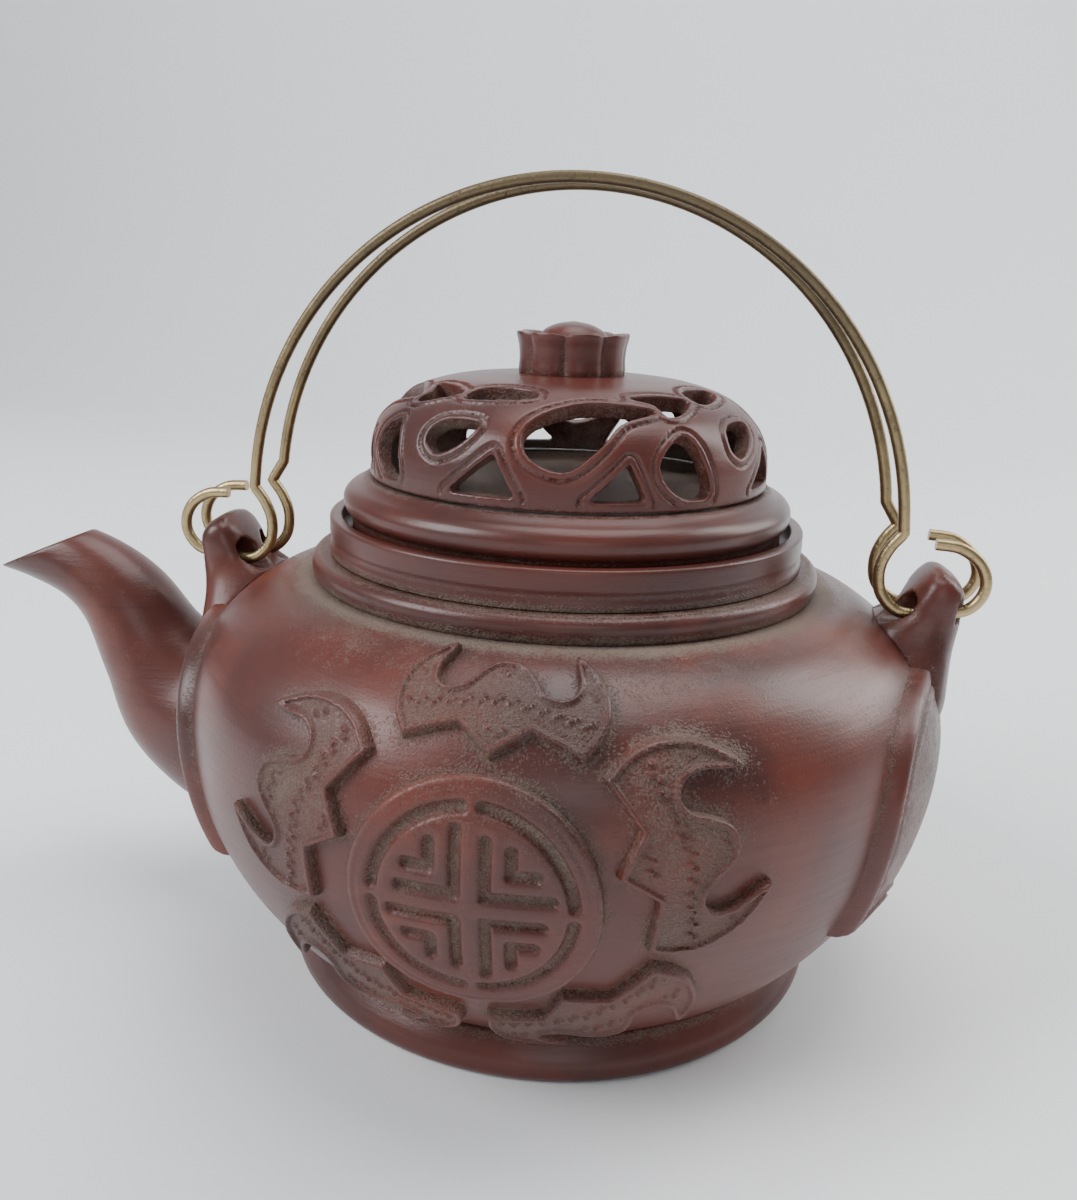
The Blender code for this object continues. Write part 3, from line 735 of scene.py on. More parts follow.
def half_line(half):
    """Half of a mirrored outline from points whose corners are marked sharp."""
    runs = [[]]
    for x, y, sharp in half:
        runs[-1].append((x, y))
        if sharp and len(runs[-1]) > 1:
            runs.append([(x, y)])
    parts = [smooth_line(run, 8) for run in runs if len(run) > 1]
    return np.vstack([parts[0]] + [part[1:] for part in parts[1:]])


def mirrored(half, flip):
    return np.vstack((half, half[1:-1][::-1] * flip))


def edge_round(away, low, high, width):
    """Lift that rises in a quarter round from the edge."""
    t = 1 - np.clip(away / width, 0, 1)
    return low + (high - low) * np.sqrt(np.clip(1 - t * t, 0, 1))


print("slab tools ready")

# %% [markdown]
# ## The bats
# Five bats fly round the medallion on each face. Their wings curl forward to points, and their
# backs carry a raised border and rows of short dashes left by a tool. Each is cut straight down
# from a flat outline, so `lay` searches for the skin point that stands over every flat point.

# %% Cut, carve and lay the bats
BAT_HALF = half_line([
    (19.0, 0.0, True), (23.4, 5.0, True), (20.9, 12.5, True), (24.7, 14.3, False), (29.0, 14.7, False),
    (34.0, 13.2, False), (38.5, 9.7, True), (39.2, 8.4, True), (37.2, 8.6, False), (33.4, 9.7, False),
    (30.6, 9.4, False), (29.4, 7.6, False), (30.2, 5.6, False), (32.4, 4.2, False), (34.6, 2.6, False),
    (35.5, 1.1, False), (35.6, 0.0, True)])
BATS = {
    "top": (87, 0.86, 0.97), "right": (15, 1.0, 1.0), "left": (162, 0.98, 0.98),
    "lower_left": (231, 0.92, 1.02), "lower_right": (304, 0.92, 1.04)}
FACES = {"front": 0.0, "back": pi}
MEDALLION_FAR = 39.9 * MM
BAT_TAIL = 19.0
BAT_MIDDLE = 29.0
BAT_CELL = 0.28
DASH_ROW = 5.4
DASH_STEP = 2.1


def bat_face(direction, length, span, phase):
    """The rule for a bat's face: raised border, sunk dusty floor, rows of dashes."""
    c, s = cos(direction), sin(direction)

    def face(flat, away):
        v = (flat[:, 0] * c + flat[:, 1] * s) / length
        w = (flat[:, 1] * c - flat[:, 0] * s) / span
        lift = edge_round(away, 0.9, 1.6, 0.32)
        floor = ease(away, 0.60, 0.95)
        lift -= 0.48 * floor
        row = v + 0.16 * np.abs(w) + phase
        stagger = np.floor(row / DASH_ROW) * 0.9
        dash = ease(np.cos(2 * pi * row / DASH_ROW), 0.35, 0.7)
        dash *= ease(np.cos(2 * pi * (w + stagger) / DASH_STEP), 0.35, 0.8)
        dash *= ease(away, 1.4, 1.9)
        lift += 0.42 * dash
        dust = 0.24 + 0.20 * floor * (1 - dash) + 0.20 * np.exp(-away / 0.25)
        return lift, dust
    return face


def over_skin(azimuth, far):
    """A lay rule: points straight out of the tangent plane at a place on the belly."""
    r, z, out_r, out_z = (float(v) for v in BELLY.at(far))
    radial = np.array((sin(azimuth), -cos(azimuth), 0.0))
    around = np.array((cos(azimuth), sin(azimuth), 0.0))
    up = np.array((0, 0, 1.0)) * out_r - radial * out_z
    middle = radial * r + np.array((0, 0, z))

    def lay(flat, lift):
        want = flat * MM
        turn = azimuth + want[:, 0] / r
        reach = far + want[:, 1]
        for _ in range(SEARCH_ROUNDS):
            spots = BELLY.point(turn, reach, lift * MM)
            gap = spots - middle
            turn = turn + (want[:, 0] - gap @ around) / r
            reach = reach + (want[:, 1] - gap @ up)
        return BELLY.point(turn, reach, lift * MM)
    return lay


def make_bat(face, azimuth, label):
    direction, length, span = BATS[label]
    turn = radians(direction)
    distance = BAT_TAIL + (BAT_MIDDLE - BAT_TAIL) * length
    far = MEDALLION_FAR + distance * sin(turn) * MM
    around = azimuth + distance * cos(turn) * MM / float(BELLY.at(far)[0])
    flat = mirrored((BAT_HALF - (BAT_MIDDLE, 0)) * (length, span), flip=(1, -1))
    outline = flat @ np.array(((cos(turn), sin(turn)), (-sin(turn), cos(turn))))
    rule = bat_face(turn, length, span, direction * 0.01)
    mesh = slab(outline, BAT_CELL, rule, over_skin(around, far))
    settle_clay("bat_%s_%s" % (face, label), mesh, None, finish=CLAY_RELIEF, crease=CREASE_CUT)


for face, azimuth in FACES.items():
    for label in BATS:
        make_bat(face, azimuth, label)

# %% [markdown]
# ## The medallions
# A disc with four repeats of a key fret inside a ring. The grooves are pressed, so their walls lean
# and their floors are full of dust. Unlike a bat it is bent to the belly, so its rule for laying
# wraps it: sideways distances run round the pot.

# %% Press and wrap the medallions
MEDALLION_RADIUS = 17.0
MEDALLION_CELL = 0.32
QUARTER = [
    np.array([(13.25 * cos(radians(a)), 13.25 * sin(radians(a))) for a in range(6, 86, 6)]),
    np.array([(1.95, 9.2), (1.95, 1.95), (10.4, 1.95)]),
    np.array([(5.25, 8.2), (5.25, 5.25), (8.4, 5.25)])]


def turned_flat(line, degrees):
    c, s = cos(radians(degrees)), sin(radians(degrees))
    return line @ np.array(((c, s), (-s, c)))


GROOVES = [turned_flat(line, 90 * k) for k in range(4) for line in QUARTER]


def medallion_face(flat, away):
    beside = away_from(flat, GROOVES, closed=False)
    groove = 1 - ease(beside, 0.50, 0.95)
    lift = edge_round(away, 1.2, 2.35, 0.9) - 0.95 * groove - 0.16 * (1 - ease(beside, 0.8, 1.9))
    lift -= 0.10 * (1 - ease(np.abs(away - 1.6), 0.1, 0.4))
    return lift, 0.18 + 0.36 * groove + 0.30 * np.exp(-away / 0.3)


def wrapped_at(azimuth):
    def lay(flat, lift):
        far = MEDALLION_FAR + flat[:, 1] * MM
        turn = azimuth + flat[:, 0] * MM / BELLY.at(far)[0]
        return BELLY.point(turn, far, lift * MM)
    return lay


circle = np.array([(cos(t), sin(t)) for t in round_turn(180)]) * MEDALLION_RADIUS
for face, azimuth in FACES.items():
    mesh = slab(circle, MEDALLION_CELL, medallion_face, wrapped_at(azimuth))
    settle_clay("medallion_" + face, mesh, None, finish=CLAY_RELIEF, crease=CREASE_CUT)

# %% [markdown]
# ## The spout
# The tube is thrown or wrapped round a stick, bent while soft, thinned to the mouth and cut at a
# slant. Its rings follow a path in the pot's middle plane. The bore is the same tube made thinner,
# and the pot's own skin trims the root, so the two meet in the clay of the plaque.

# %% Roll, bore and cut the spout
SPOUT_PATH = smooth_line([
    (-57.0, 31.5, 17.6, 17.0), (-65.5, 34.0, 16.6, 16.0), (-73.5, 38.6, 14.4, 13.4),
    (-80.0, 47.0, 10.6, 10.4), (-85.6, 56.2, 8.6, 8.8), (-92.5, 61.8, 7.2, 7.4),
    (-102.0, 65.2, 6.4, 6.2), (-114.0, 67.8, 6.0, 5.4)], 8)
SPOUT_WALL = 2.6
SPOUT_ROOT = 1.2
BORE_OVERRUN = 6
SPOUT_TIP = np.array((-110.6, 61.6))
SPOUT_CREST = np.array((-94.6, 68.6))


def spout_tube(shrink, longer):
    path = SPOUT_PATH.copy()
    path[0] += (path[0] - path[1]) * longer
    path[-1] += (path[-1] - path[-2]) * longer
    along = np.gradient(path[:, :2], axis=0)
    along /= np.linalg.norm(along, axis=1)[:, None]
    turns = round_turn(64)
    rings = []
    for (x, z, tall, wide), (dx, dz) in zip(path, along):
        lift = (tall - shrink) * np.cos(turns)
        rings.append(np.column_stack((x + dz * lift, (wide - shrink) * np.sin(turns), z - dx * lift)) * MM)
    return lofted(rings)


def prism(corners, low, high, axis):
    """A straight-sided tool from a flat outline in millimetres, standing along x (0) or y (1)."""
    rings = []
    for reach in (low, high):
        flat = np.array(corners, float)
        column = np.full(len(flat), float(reach))
        rings.append(np.insert(flat, axis, column, axis=1) * MM)
    return lofted(rings)


def belly_trim(grow):
    """The pot's whole volume, grown a little, for trimming what is luted to it."""
    far = np.linspace(0, BELLY.far[-1], 90)
    r, z, out_r, out_z = BELLY.at(far)
    line = list(zip(r + out_r * grow * MM, z + out_z * grow * MM))
    profile = [(0, 0.0), (line[0][0], 0.0)] + line + [(line[-1][0] - 4 * MM, line[-1][1] + MM)]
    return facing_out(turned(profile + [(0, line[-1][1] + MM)], columns=160, closed=False))


def slant_tool():
    along = (SPOUT_CREST - SPOUT_TIP) / np.linalg.norm(SPOUT_CREST - SPOUT_TIP)
    up = np.array((-along[1], along[0]))
    low = SPOUT_TIP - along * 30
    high = SPOUT_CREST + along * 3
    return prism([low, high, high + up * 30, low + up * 30], -20, 20, 1)


def spout_dust(points):
    seam = np.exp(-np.clip(from_axis(points) / MM - 66, 0, 99) / 2.2)
    return 0.08 + 0.34 * seam


spout = spout_tube(0, 0)
for tool in (spout_tube(SPOUT_WALL, BORE_OVERRUN), slant_tool(), belly_trim(SPOUT_ROOT)):
    spout = cut(spout, tool)
settle_clay("spout", swell(softened(spout, cell=0.42, rounds=5), 0.10), spout_dust, crease=CREASE_RUBBED)

# %% [markdown]
# ## The side plaques
# A plaque lies under the spout and another under the lug at the back. Each has a rolled border and
# a fine line inside it. Its outline is laid on the belly along the pot's long axis, and the bore of
# the spout passes through the plaque on that side.

# %% Carve the side plaques
PLAQUE_HALF = half_line([
    (0.0, 60.6, False), (12.0, 60.5, False), (22.5, 59.6, False), (30.5, 56.2, False), (35.4, 50.5, False),
    (37.0, 43.5, False), (36.8, 35.5, False), (35.2, 24.8, True), (27.0, 27.0, False), (18.5, 17.0, True),
    (10.0, 12.8, False), (0.0, 10.8, True)])
PLAQUE_CELL = 0.46


def plaque_face(flat, away):
    lift = edge_round(away, 1.15, 2.25, 0.6)
    field = ease(away, 1.1, 1.6)
    ridge = np.exp(-((away - 2.9) / 0.34) ** 2)
    lift += -0.50 * field + 0.30 * ridge
    return lift, 0.12 + 0.20 * field * (1 - ridge) + 0.34 * np.exp(-((away - 1.7) / 0.45) ** 2)


def seen_from_side(side):
    """A lay rule: points straight in along the pot's long axis."""
    def lay(flat, lift):
        want = flat[:, 1] * MM
        far = BELLY.far_at_height(want)
        for _ in range(SEARCH_ROUNDS):
            _, z, _, out_z = BELLY.at(far)
            far = far + (want - z - out_z * lift * MM)
        r, _, out_r, _ = BELLY.at(far)
        reach = r + out_r * lift * MM
        across = side * flat[:, 0] * MM
        x = side * np.sqrt(np.clip(reach ** 2 - across ** 2, 0, None))
        return np.column_stack((x, across, want))
    return lay


plaque_line = mirrored(PLAQUE_HALF, flip=(-1, 1))
for name, side in (("spout_plaque", -1), ("back_plaque", 1)):
    mesh = slab(plaque_line, PLAQUE_CELL, plaque_face, seen_from_side(side))
    if side < 0:
        mesh = cut(mesh, spout_tube(SPOUT_WALL, BORE_OVERRUN))
    settle_clay(name, mesh, None, finish=CLAY_RELIEF, crease=CREASE_CUT)

# %% [markdown]
# ## The lugs
# Each lug stands on the shoulder like a small arch, pierced twice for the two wires. It is built
# up from rings and pierced with a round-ended tool; a wet finger then breaks every edge.

# %% Model and pierce the lugs
LUG_SECTIONS = smooth_line([
    (51.5, 55.0, 65.8, 13.5), (54.5, 55.0, 66.2, 14.5), (58.0, 53.0, 66.5, 12.6), (61.5, 51.5, 66.8, 10.2),
    (65.0, 52.2, 67.3, 8.4), (68.0, 56.4, 67.8, 7.5), (71.0, 58.4, 67.6, 7.3), (73.4, 60.0, 66.2, 6.6),
    (74.9, 61.4, 64.2, 4.6)], 5)
LUG_HOLES = [(-3.8, 4.6), (3.8, 4.6)]
LUG_HOLE_BOTTOM = 65.9
LUG_HOLE_TOP = 71.2
LUG_SQUARENESS = 0.8


def make_lug(name, side, tool):
    turns = round_turn(72)
    c, s = np.cos(turns), np.sin(turns)
    rings = []
    for z, inner, outer, half_width in LUG_SECTIONS:
        x = (inner + outer) / 2 + (outer - inner) / 2 * np.abs(c) ** LUG_SQUARENESS * np.sign(c)
        y = half_width * np.abs(s) ** LUG_SQUARENESS * np.sign(s)
        rings.append(np.column_stack((side * x, y, np.full(len(x), z))) * MM)
    middle = rings[-1].mean(axis=0)
    rings.append(middle + (rings[-1] - middle) * 0.4 + (0, 0, 0.5 * MM))
    mesh = cut(lofted(rings), tool)
    for offset, width in LUG_HOLES:
        half = width / 2
        heights = np.where(s >= 0, LUG_HOLE_TOP - half, LUG_HOLE_BOTTOM + half)
        hole = prism(np.column_stack((offset + half * c, heights + half * s)), side * 45, side * 75, 0)
        mesh = cut(mesh, hole)
    settle_clay(name, swell(softened(mesh, cell=0.34, rounds=12), 0.08), lug_dust, crease=CREASE_RUBBED)


def lug_dust(points):
    across = np.abs(points[:, 1]) / MM
    hole = np.exp(-((across - 3.8) / 2.6) ** 2 - ((points[:, 2] / MM - 68.5) / 3.6) ** 2)
    return 0.10 + 0.22 * hole + 0.25 * np.exp(-(points[:, 2] / MM - 52) / 5)


trim = belly_trim(SINK)
make_lug("lug_spout_side", -1, trim.copy())
make_lug("lug_back_side", 1, trim.copy())

# %% [markdown]
# ## The belly, the foot and the rings
# The belly is a thin shell. Seven holes behind the spout hold back the leaves. Dust gathers round
# every relief, under the collar and above the foot, so the belly's dust value asks how near the
# closest relief edge is.

# %% Turn the belly
WALL = 3.2
MOUTH = 36.8
STRAINER_HEIGHT = 35.0
STRAINER_SPREAD = 6.6
STRAINER_HOLE = 2.0


def belly_shell():
    far = np.linspace(0, BELLY.far[-1], 110)
    r, z, out_r, out_z = BELLY.at(far)
    skin = list(zip(r, z))
    lining = list(zip(r - out_r * WALL * MM, z - out_z * WALL * MM))
    lining[0] = (lining[0][0] + 0.6 * MM, skin[0][1])
    top = skin[-1][1]
    inner = [p for p in reversed(lining) if p[0] > MOUTH * MM]
    profile = skin + [(MOUTH * MM, top), (MOUTH * MM, top - WALL * MM)] + inner
    return facing_out(turned(profile, columns=300))


def pierced(mesh):
    """The belly with its strainer: one hole and six round it."""
    turns = round_turn(24)
    spots = [(0.0, STRAINER_HEIGHT)]
    for degrees in range(30, 390, 60):
        across = STRAINER_SPREAD * cos(radians(degrees))
        spots.append((across, STRAINER_HEIGHT + STRAINER_SPREAD * sin(radians(degrees))))
    for y, z in spots:
        hole = np.column_stack((y + STRAINER_HOLE * np.cos(turns), z + STRAINER_HOLE * np.sin(turns)))
        mesh = cut(mesh, prism(hole, -70, -50, 0))
    return mesh


edges = np.vstack(RELIEF_EDGES)
tree = KDTree(len(edges))
for i, spot in enumerate(edges):
    tree.insert(spot, i)
tree.balance()
junctions = near_rings([(44.6, 69.6, 3.0, 0.72), (46.2, 7.6, 2.0, 0.60)])


def belly_dust(points):
    away = np.array([tree.find(p)[2] for p in points]) / MM
    shoulder = 0.22 * ease(points[:, 2] / MM, 62, 69)
    return np.maximum(np.maximum(0.52 * np.exp(-away / 1.3), junctions(points)), shoulder) + 0.06


settle_clay("belly", swell(pierced(belly_shell()), 0.12), belly_dust)

# %% [markdown]
# ## The rings of the pot
# The foot, the base, the collar and the mouth ring are turned from short profiles whose corners a
# wet finger has eased.

# %% Turn the foot, the base, the collar and the mouth ring
foot = turned(rounded([
    (40.8, 7.25, 0), (45.6, 7.25, 0.5), (46.9, 5.6, 1.0), (48.2, 3.4, 1.2), (48.2, 1.2, 0.8), (47.2, 0, 0.9),
    (43.4, 0, 0.9), (40.8, 1.6, 0.8)]), columns=200)
settle_clay("foot_ring", swell(foot, 0.08), near_rings([(46.2, 6.8, 1.4, 0.5), (48.0, 0, 1.2, 0.3)]))

base_profile = np.array([(0, 3.8), (40.0, 3.8), (40.6, 4.1), (40.6, 7.2), (0, 7.2)]) * MM
base = turned(base_profile, columns=120, closed=False)
settle_clay("base_disc", base, near_rings([(40.4, 3.8, 4.0, 0.5)]))

collar = turned(rounded([
    (36.8, 73.4, 0.3), (42.7, 73.4, 0.6), (43.7, 72.5, 0.8), (43.7, 70.6, 0.8), (43.1, 69.3, 0.3),
    (36.8, 69.5, 0.2)]), columns=200)
settle_clay("shoulder_collar", swell(collar, 0.07),
            near_rings([(41.2, 73.6, 2.0, 0.72), (43.6, 69.9, 1.2, 0.6)]))

mouth = turned(rounded([
    (38.6, 79.65, 0.4), (40.7, 79.65, 0.6), (40.7, 76.6, 0.3), (40.45, 75.6, 0.5), (40.7, 74.6, 0.3),
    (40.7, 73.5, 0.2), (36.8, 73.5, 0.2), (36.8, 77.4, 0.2), (38.6, 77.4, 0.1)]), columns=220)
settle_clay("mouth_ring", swell(mouth, 0.05), near_rings([(40.7, 73.6, 1.1, 0.6), (40.5, 75.6, 0.6, 0.3)]))

# %% [markdown]
# ## The lid
# A flange that looks like a rope of clay covers the mouth, and a ring underneath keeps the lid
# centred. Both are turned.

# %% Turn the lid's plate and locating ring
FLOOR_HEIGHT = 84
FLOOR_RADIUS = 31.5
plate = turned(rounded([
    (0, 84.4, 0), (30.6, 84.4, 0.5), (31.4, 85.9, 0.5), (34.6, 86.0, 0.5), (35.7, 85.1, 0.8),
    (37.3, 84.4, 0.9), (38.3, 83.2, 1.0), (38.4, 81.9, 0.9), (38.0, 80.6, 0.9), (37.0, 79.7, 0.7),
    (36.9, 77.75, 0.3), (0, 77.7, 0)]), columns=220, closed=False)
plate_edges = near_rings([(34.2, 86.0, 1.0, 0.50), (31.2, 84.6, 3.0, 0.7), (37.2, 79.7, 0.9, 0.4)])


def plate_dust(points):
    floor = (points[:, 2] > FLOOR_HEIGHT * MM) & (from_axis(points) < FLOOR_RADIUS * MM)
    return np.maximum(plate_edges(points), 0.62 * floor)


settle_clay("lid_plate", swell(plate, 0.06), plate_dust, "lid", CLAY_LID)
locating = turned(rounded([
    (33.4, 77.75, 0), (36.2, 77.75, 0), (36.2, 71.0, 0.4), (35.4, 70.0, 0.5),
    (33.4, 70.0, 0.6)]), columns=160)
settle_clay("lid_locating_ring", locating, near_rings([(36.2, 77.5, 1.5, 0.4)]), "lid", CLAY_LID)

# %% [markdown]
# ## The openwork dome
# A turned shell stands on the plate. It is cut through with a knife while leather hard, in a
# scrolling pattern that repeats four times, and a line is scribed beside every opening. The line is
# pressed into the mesh as a shallow groove.

# %% Cut the openwork dome
DOME_OPENINGS = [
    [(-23, 1.6), (-10.5, 8.0), (-4, 1.6)],
    [(-32, 8.5), (-31, 11.4), (-26, 12.9), (-17, 12.6), (-20, 9.2), (-27, 7.0)],
    [(-3, 9.0), (-3, 12.6), (3, 16.2), (14, 18.9), (27, 18.6), (37, 16.6), (24, 14.0), (17, 9.6), (9, 6.0),
     (2, 6.6)],
    [(14, 1.6), (24.5, 7.4), (29, 1.6)],
    [(33, 7.4), (38, 10.6), (43, 11.2), (47, 6.0), (48, 2.0), (40, 1.8), (34, 4.4)],
    [(-30, 18.0), (-29, 22.0), (-17, 23.6), (-6, 22.6), (-4, 20.0), (-16, 18.6)],
    [(31, 21.0), (44, 21.6), (56, 19.6), (48, 16.4), (40, 15.2), (38, 18.6)]]
DOME_WALL = 2.6
OPENINGS_MIDDLE = 10.0
OPENINGS_REACH = 75.0
SCRIBE_AWAY = 1.25
SCRIBE_WIDTH = 0.24
SCRIBE_DEPTH = 0.5
opening_lines = [spaced(np.array(line, float), 1.5) if len(line) == 3 else smooth_line(line, 6, closed=True)
                 for line in DOME_OPENINGS]


def dome_shell():
    far = np.linspace(0, DOME.far[-1], 90)
    r, z, out_r, out_z = DOME.at(far)
    lining = list(zip(r - out_r * DOME_WALL * MM, z - out_z * DOME_WALL * MM))
    crown = z[-1] + 0.2 * MM
    profile = [(0, crown)] + list(zip(r, z))[::-1] + [(lining[0][0], z[0])] + lining[1:]
    return facing_out(turned(profile + [(0, crown - DOME_WALL * MM)], columns=240, closed=False))


def opening_tool(line, quarter):
    azimuth = np.radians(line[:, 0] + 90 * quarter)
    rings = [DOME.point(azimuth, line[:, 1] * MM, reach * MM) for reach in (-DOME_WALL - 1.5, 2)]
    return lofted(rings)


def dome_places(points):
    """Angle in degrees, distance up the outline and height above the skin in mm, outward direction."""
    azimuth = np.degrees(np.arctan2(points[:, 0], -points[:, 1]))
    radius = from_axis(points)
    nearest = np.empty(len(points), int)
    for k in range(0, len(points), BATCH):
        sideways = radius[k:k + BATCH, None] - DOME.line[:, 0]
        nearest[k:k + BATCH] = np.hypot(sideways, points[k:k + BATCH, 2, None] - DOME.line[:, 1]).argmin(1)
    out = DOME.out[nearest]
    lift = (radius - DOME.line[nearest, 0]) * out[:, 0] + (points[:, 2] - DOME.line[nearest, 1]) * out[:, 1]
    return azimuth, DOME.far[nearest] / MM, lift / MM, out


def near_openings(azimuth, far):
    """Distance on the dome's skin to the nearest opening, in mm."""
    best = np.full(len(far), 99.0)
    for quarter in range(-2, 3):
        turn = azimuth - 90 * quarter
        close = np.abs(turn - OPENINGS_MIDDLE) < OPENINGS_REACH
        for line in opening_lines:
            stretch = radians(1) * float(DOME.at(line[:, 1].mean() * MM)[0]) / MM
            flat = np.column_stack((turn[close] * stretch, far[close]))
            best[close] = np.minimum(best[close], away_from(flat, [line * (stretch, 1)]))
    return best


dome = dome_shell()
for quarter in range(4):
    for line in opening_lines:
        dome = cut(dome, opening_tool(line, quarter))
dome = softened(dome, cell=0.31, rounds=1)
points = places(dome)
azimuth, far, lift, out = dome_places(points)
opening = near_openings(azimuth, far)
outer = ease(lift, -0.7, -0.2)
scribed = np.exp(-((opening - SCRIBE_AWAY) / SCRIBE_WIDTH) ** 2) * outer * ease(far, 0.6, 1.4)
direction = radially(points) * out[:, :1] + np.array((0, 0, 1.0)) * out[:, 1:]
move_points(dome, points - direction * (scribed * SCRIBE_DEPTH * MM)[:, None])
dome_value = 0.08 + 0.34 * scribed + 0.36 * (1 - outer) + 0.30 * np.exp(-far / 0.9)
settle_clay("lid_dome", dome, lambda _: dome_value, "lid", CLAY_LID, crease=CREASE_RUBBED)

# %% [markdown]
# ## The knob
# An eight-lobed cup with a domed button in it. The cup is a stack of lobed rings, up the outside,
# over the rim and down into the well.

# %% Shape the knob
KNOB_LOW = 104.1
KNOB_TOP = 110.4
KNOB_RADIUS = 10.0
PETALS = 8
PETAL_STEPS = 24


# Rim and well of the cup: width, drop from the top, lobe depth, wave.
WELL_RINGS = [
    (0.90, 0.0, 0.05, 0.35), (0.82, 0.15, 0.04, 0.25), (0.76, 0.7, 0.03, 0.0), (0.70, 2.2, 0.01, 0.0),
    (0.64, 3.2, 0.0, 0.0)]


def petal_ring(width, height, depth, wave=0.0):
    turns = round_turn(PETALS * PETAL_STEPS)
    lobe = 1 - np.abs(np.sin(PETALS * turns / 2))
    spread = KNOB_RADIUS * width * (1 - 2 * depth * lobe ** 1.6)
    return np.column_stack((spread * np.cos(turns), spread * np.sin(turns), height - wave * lobe)) * MM


rows = smooth_line([(0.90, 0.0), (0.91, 0.12), (0.90, 0.35), (0.915, 0.65), (0.955, 0.92), (0.95, 1.0)], 5)
knob_rings = [petal_ring(0.70, KNOB_LOW - 0.45, 0.02)]
for width, rise in rows:
    height = KNOB_LOW - 0.4 + (KNOB_TOP - KNOB_LOW + 0.4) * rise
    knob_rings.append(petal_ring(width, height, 0.05, 0.35 * rise))
for width, drop, depth, wave in WELL_RINGS:
    knob_rings.append(petal_ring(width, KNOB_TOP - drop, depth, wave))


def knob_dust(points):
    turn = np.arctan2(points[:, 1], points[:, 0])
    valley = (1 - np.abs(np.sin(PETALS * turn / 2))) ** 4
    well = np.exp(-((from_axis(points) / MM - 7.2) / 0.9) ** 2)
    return 0.10 + 0.35 * valley + 0.45 * well + 0.4 * np.exp(-(points[:, 2] / MM - 103.6) / 0.8)


settle_clay("lid_knob", lofted(knob_rings), knob_dust, "lid", CLAY_LID, crease=CREASE_SWEPT)
button = turned(rounded([
    (0, 112.2, 0), (2.8, 111.8, 1.2), (5.0, 110.8, 1.4), (6.2, 109.2, 1.4), (6.2, 107.0, 0.2),
    (0, 107.0, 0)]), columns=96, closed=False)
settle_clay("knob_centre", button, near_rings([(6.4, 108.6, 1.6, 0.5)]), "lid", CLAY_LID)

# %% [markdown]
# ## The two brass wires
# Each wire is one length: a hook curls out through its hole in the lug, closes on itself, kinks and
# runs up into the arch. A second tree sweeps a round along it and keeps the distance along the wire
# for the finish, which adds the small marks and dents of bent wire.

# %% Bend the wires
WIRES = {"front": (-1, 56.4, 56.4), "back": (1, 54.4, 56.0)}
WIRE_OFFSET = 3.8
WIRE_RADIUS = 0.98
WIRE_SIDES = 20
WIRE_STEP = 0.55
ARCH_CENTRE = 78.0
ARCH_FOOT = 84.5
ARCH_STEPS = 104
WIRE_LOOP = smooth_line([
    (56.4, 81.0), (54.4, 78.2), (53.3, 74.8), (53.9, 70.8), (56.7, 68.0), (60.5, 67.6), (64.5, 68.2),
    (67.8, 69.0), (69.8, 71.4), (70.1, 74.2), (68.6, 77.2), (65.4, 79.2), (61.6, 79.6)], 12)


def wire_bench():
    sockets = {"Radius": "NodeSocketFloat", "Round": "NodeSocketInt", "Finish": "NodeSocketMaterial"}
    bench = Bench("wire", sockets)
    line = bench.node("GeometryNodeMeshToCurve", {"Mesh": bench.given.outputs["Geometry"]})
    along = bench.node("GeometryNodeSplineParameter", out="Length")
    stored = bench.node("GeometryNodeStoreNamedAttribute",
                        {"Geometry": line, "Name": "along", "Value": along},
                        data_type="FLOAT", domain="POINT")
    around = bench.node("GeometryNodeCurvePrimitiveCircle",
                        {"Resolution": bench.given.outputs["Round"], "Radius": bench.given.outputs["Radius"]})
    swept = bench.node("GeometryNodeCurveToMesh",
                       {"Curve": stored, "Profile Curve": around, "Fill Caps": True})
    bench.close(swept)
    return bench


WIRE_BENCH = wire_bench()


def even_line(line, gap):
    far = np.concatenate(([0], np.cumsum(np.linalg.norm(np.diff(line, axis=0), axis=1))))
    walk = np.linspace(0, far[-1], int(far[-1] / gap))
    return np.column_stack([np.interp(walk, far, column) for column in line.T])


def make_wire(name, side, half_span, rise):
    turns = pi * np.arange(1, ARCH_STEPS) / ARCH_STEPS
    arch = np.column_stack((half_span * np.cos(turns), ARCH_CENTRE + rise * np.sin(turns)))
    arch = arch[arch[:, 1] > ARCH_FOOT]
    loop = WIRE_LOOP[::-1]
    line = even_line(np.vstack((loop, arch, WIRE_LOOP * (-1, 1))), WIRE_STEP)
    points = [(x * MM, side * WIRE_OFFSET * MM, z * MM) for x, z in line]
    route = bpy.data.meshes.new("route")
    route.from_pydata(points, [(i, i + 1) for i in range(len(points) - 1)], [])
    mesh = WIRE_BENCH.run(route, Radius=WIRE_RADIUS * MM, Round=WIRE_SIDES, Finish=BRASS)
    settle("fine_" + name, mesh, "handle_" + name, name, BRASS, crease=CREASE_SWEPT)


for face, (side, half_span, rise) in WIRES.items():
    make_wire("wire_" + face, side, half_span, rise)

# %% [markdown]
# ## The table, the light and the view
# The pot stands on a pale sheet that curves up into a wall. A large soft light stands at the front
# left like a window, a second at the back right lights the far edges, a weak one fills the front
# and one hangs above. The camera looks slightly down on the front.

# %% Stage, light and camera
SHEET_REACH = 4.0
WALL_PLACE = 1.0
WALL_HEIGHT = 2.5
SHEET_BEND = 0.3
CAMERA_PLACE = (0.04898, -0.18380, 0.11734)
CAMERA_HEADING = 0.17813
CAMERA_TILT = -0.2820
CAMERA_ROLL = 0.0369
CAMERA_LENS = 32.34
COOL = (0.97, 0.985, 1.0)
WARM = (1.0, 0.985, 0.96)
WHITE = (1.0, 1.0, 1.0)
SKY = (0.93, 0.96, 1.0, 1.0)
SKY_STRENGTH = 0.28

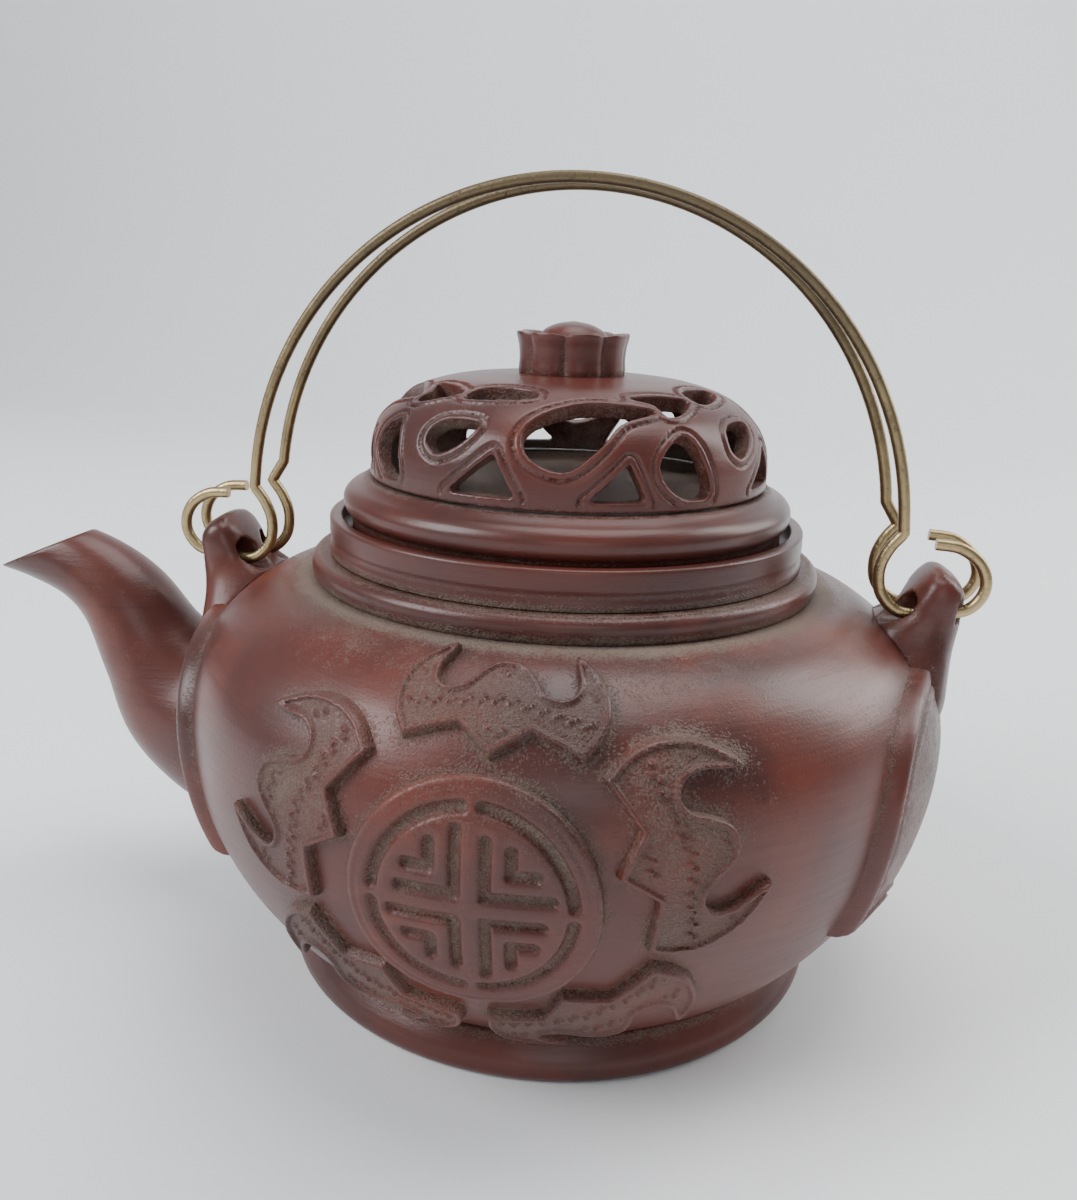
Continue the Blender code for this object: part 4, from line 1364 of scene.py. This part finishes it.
# Name, place, size, power and colour of each light.
LIGHTS = [
    ("window", (-0.75, -0.45, 0.70), (0.55, 0.70), 12.0, COOL),
    ("far_window", (0.80, 0.45, 0.60), (0.45, 0.80), 8.0, WARM),
    ("front", (0.25, -1.00, 0.42), (0.50, 0.50), 1.4, COOL),
    ("ceiling", (0.10, 0.20, 1.30), (0.9, 0.9), 12.0, WHITE)]


def soft_light(name, place, size, power, colour, aim):
    lamp = bpy.data.lights.new(name, "AREA")
    lamp.shape = "RECTANGLE"
    lamp.size, lamp.size_y = size
    lamp.energy = power
    lamp.color = colour
    light = bpy.data.objects.new(name, lamp)
    light.location = place
    light.rotation_euler = (Vector(aim) - Vector(place)).to_track_quat("-Z", "Y").to_euler()
    bpy.context.scene.collection.objects.link(light)


def stage_sheet():
    """A floor that curves up into a wall behind the pot."""
    start = WALL_PLACE - SHEET_BEND
    quarter = np.linspace(0, pi / 2, 24)
    bend = [(start + SHEET_BEND * sin(t), SHEET_BEND - SHEET_BEND * cos(t)) for t in quarter]
    profile = [(-SHEET_REACH, 0.0)] + bend + [(WALL_PLACE, WALL_HEIGHT)]
    points = [(x, y, z) for y, z in profile for x in (-SHEET_REACH, SHEET_REACH)]
    faces = [(2 * i, 2 * i + 1, 2 * i + 3, 2 * i + 2) for i in range(len(profile) - 1)]
    mesh = mesh_from("paper", points, faces)
    finish, shader, ink = new_finish("paper")
    place = ink.make("ShaderNodeTexCoord", {}, out="Object")
    fibre = place.noise(900.0, 3.0, 0.6)
    cloud = place.noise(14.0, 3.0, 0.5)
    feed(shader, Base_Color=cloud.mix((0.830, 0.850, 0.870), (0.860, 0.878, 0.895)),
         Roughness=0.72 + fibre * 0.1)
    mesh.materials.append(finish)
    mesh.shade_smooth()
    sheet = working_object(mesh)
    sheet.name = "paper_sheet"


def look(place, heading, tilt, roll, lens):
    """A camera that looks along +Y turned left by heading, then up by tilt, then rolled, in radians."""
    forward = Vector((-sin(heading) * cos(tilt), cos(heading) * cos(tilt), sin(tilt)))
    right = forward.cross(Vector((0, 0, 1))).normalized()
    up = right.cross(forward)
    sideways = right * cos(roll) + up * sin(roll)
    upward = up * cos(roll) - right * sin(roll)
    matrix = Matrix((sideways, upward, -forward)).transposed().to_4x4()
    matrix.translation = place
    data = bpy.data.cameras.new("front_view")
    data.lens = lens
    data.clip_start = 0.005
    data.clip_end = 10
    camera = bpy.data.objects.new("front_view", data)
    camera.matrix_world = matrix
    bpy.context.scene.collection.objects.link(camera)
    bpy.context.scene.camera = camera


stage_sheet()
for row in LIGHTS:
    soft_light(*row, aim=(AXIS.x, 0, 0.06))
world = bpy.data.worlds.new("studio")
world.use_nodes = True
world.node_tree.nodes["Background"].inputs["Color"].default_value = SKY
world.node_tree.nodes["Background"].inputs["Strength"].default_value = SKY_STRENGTH
bpy.context.scene.world = world
look(Vector(CAMERA_PLACE), CAMERA_HEADING, CAMERA_TILT, CAMERA_ROLL, CAMERA_LENS)
print("lights:", ", ".join(row[0] for row in LIGHTS))
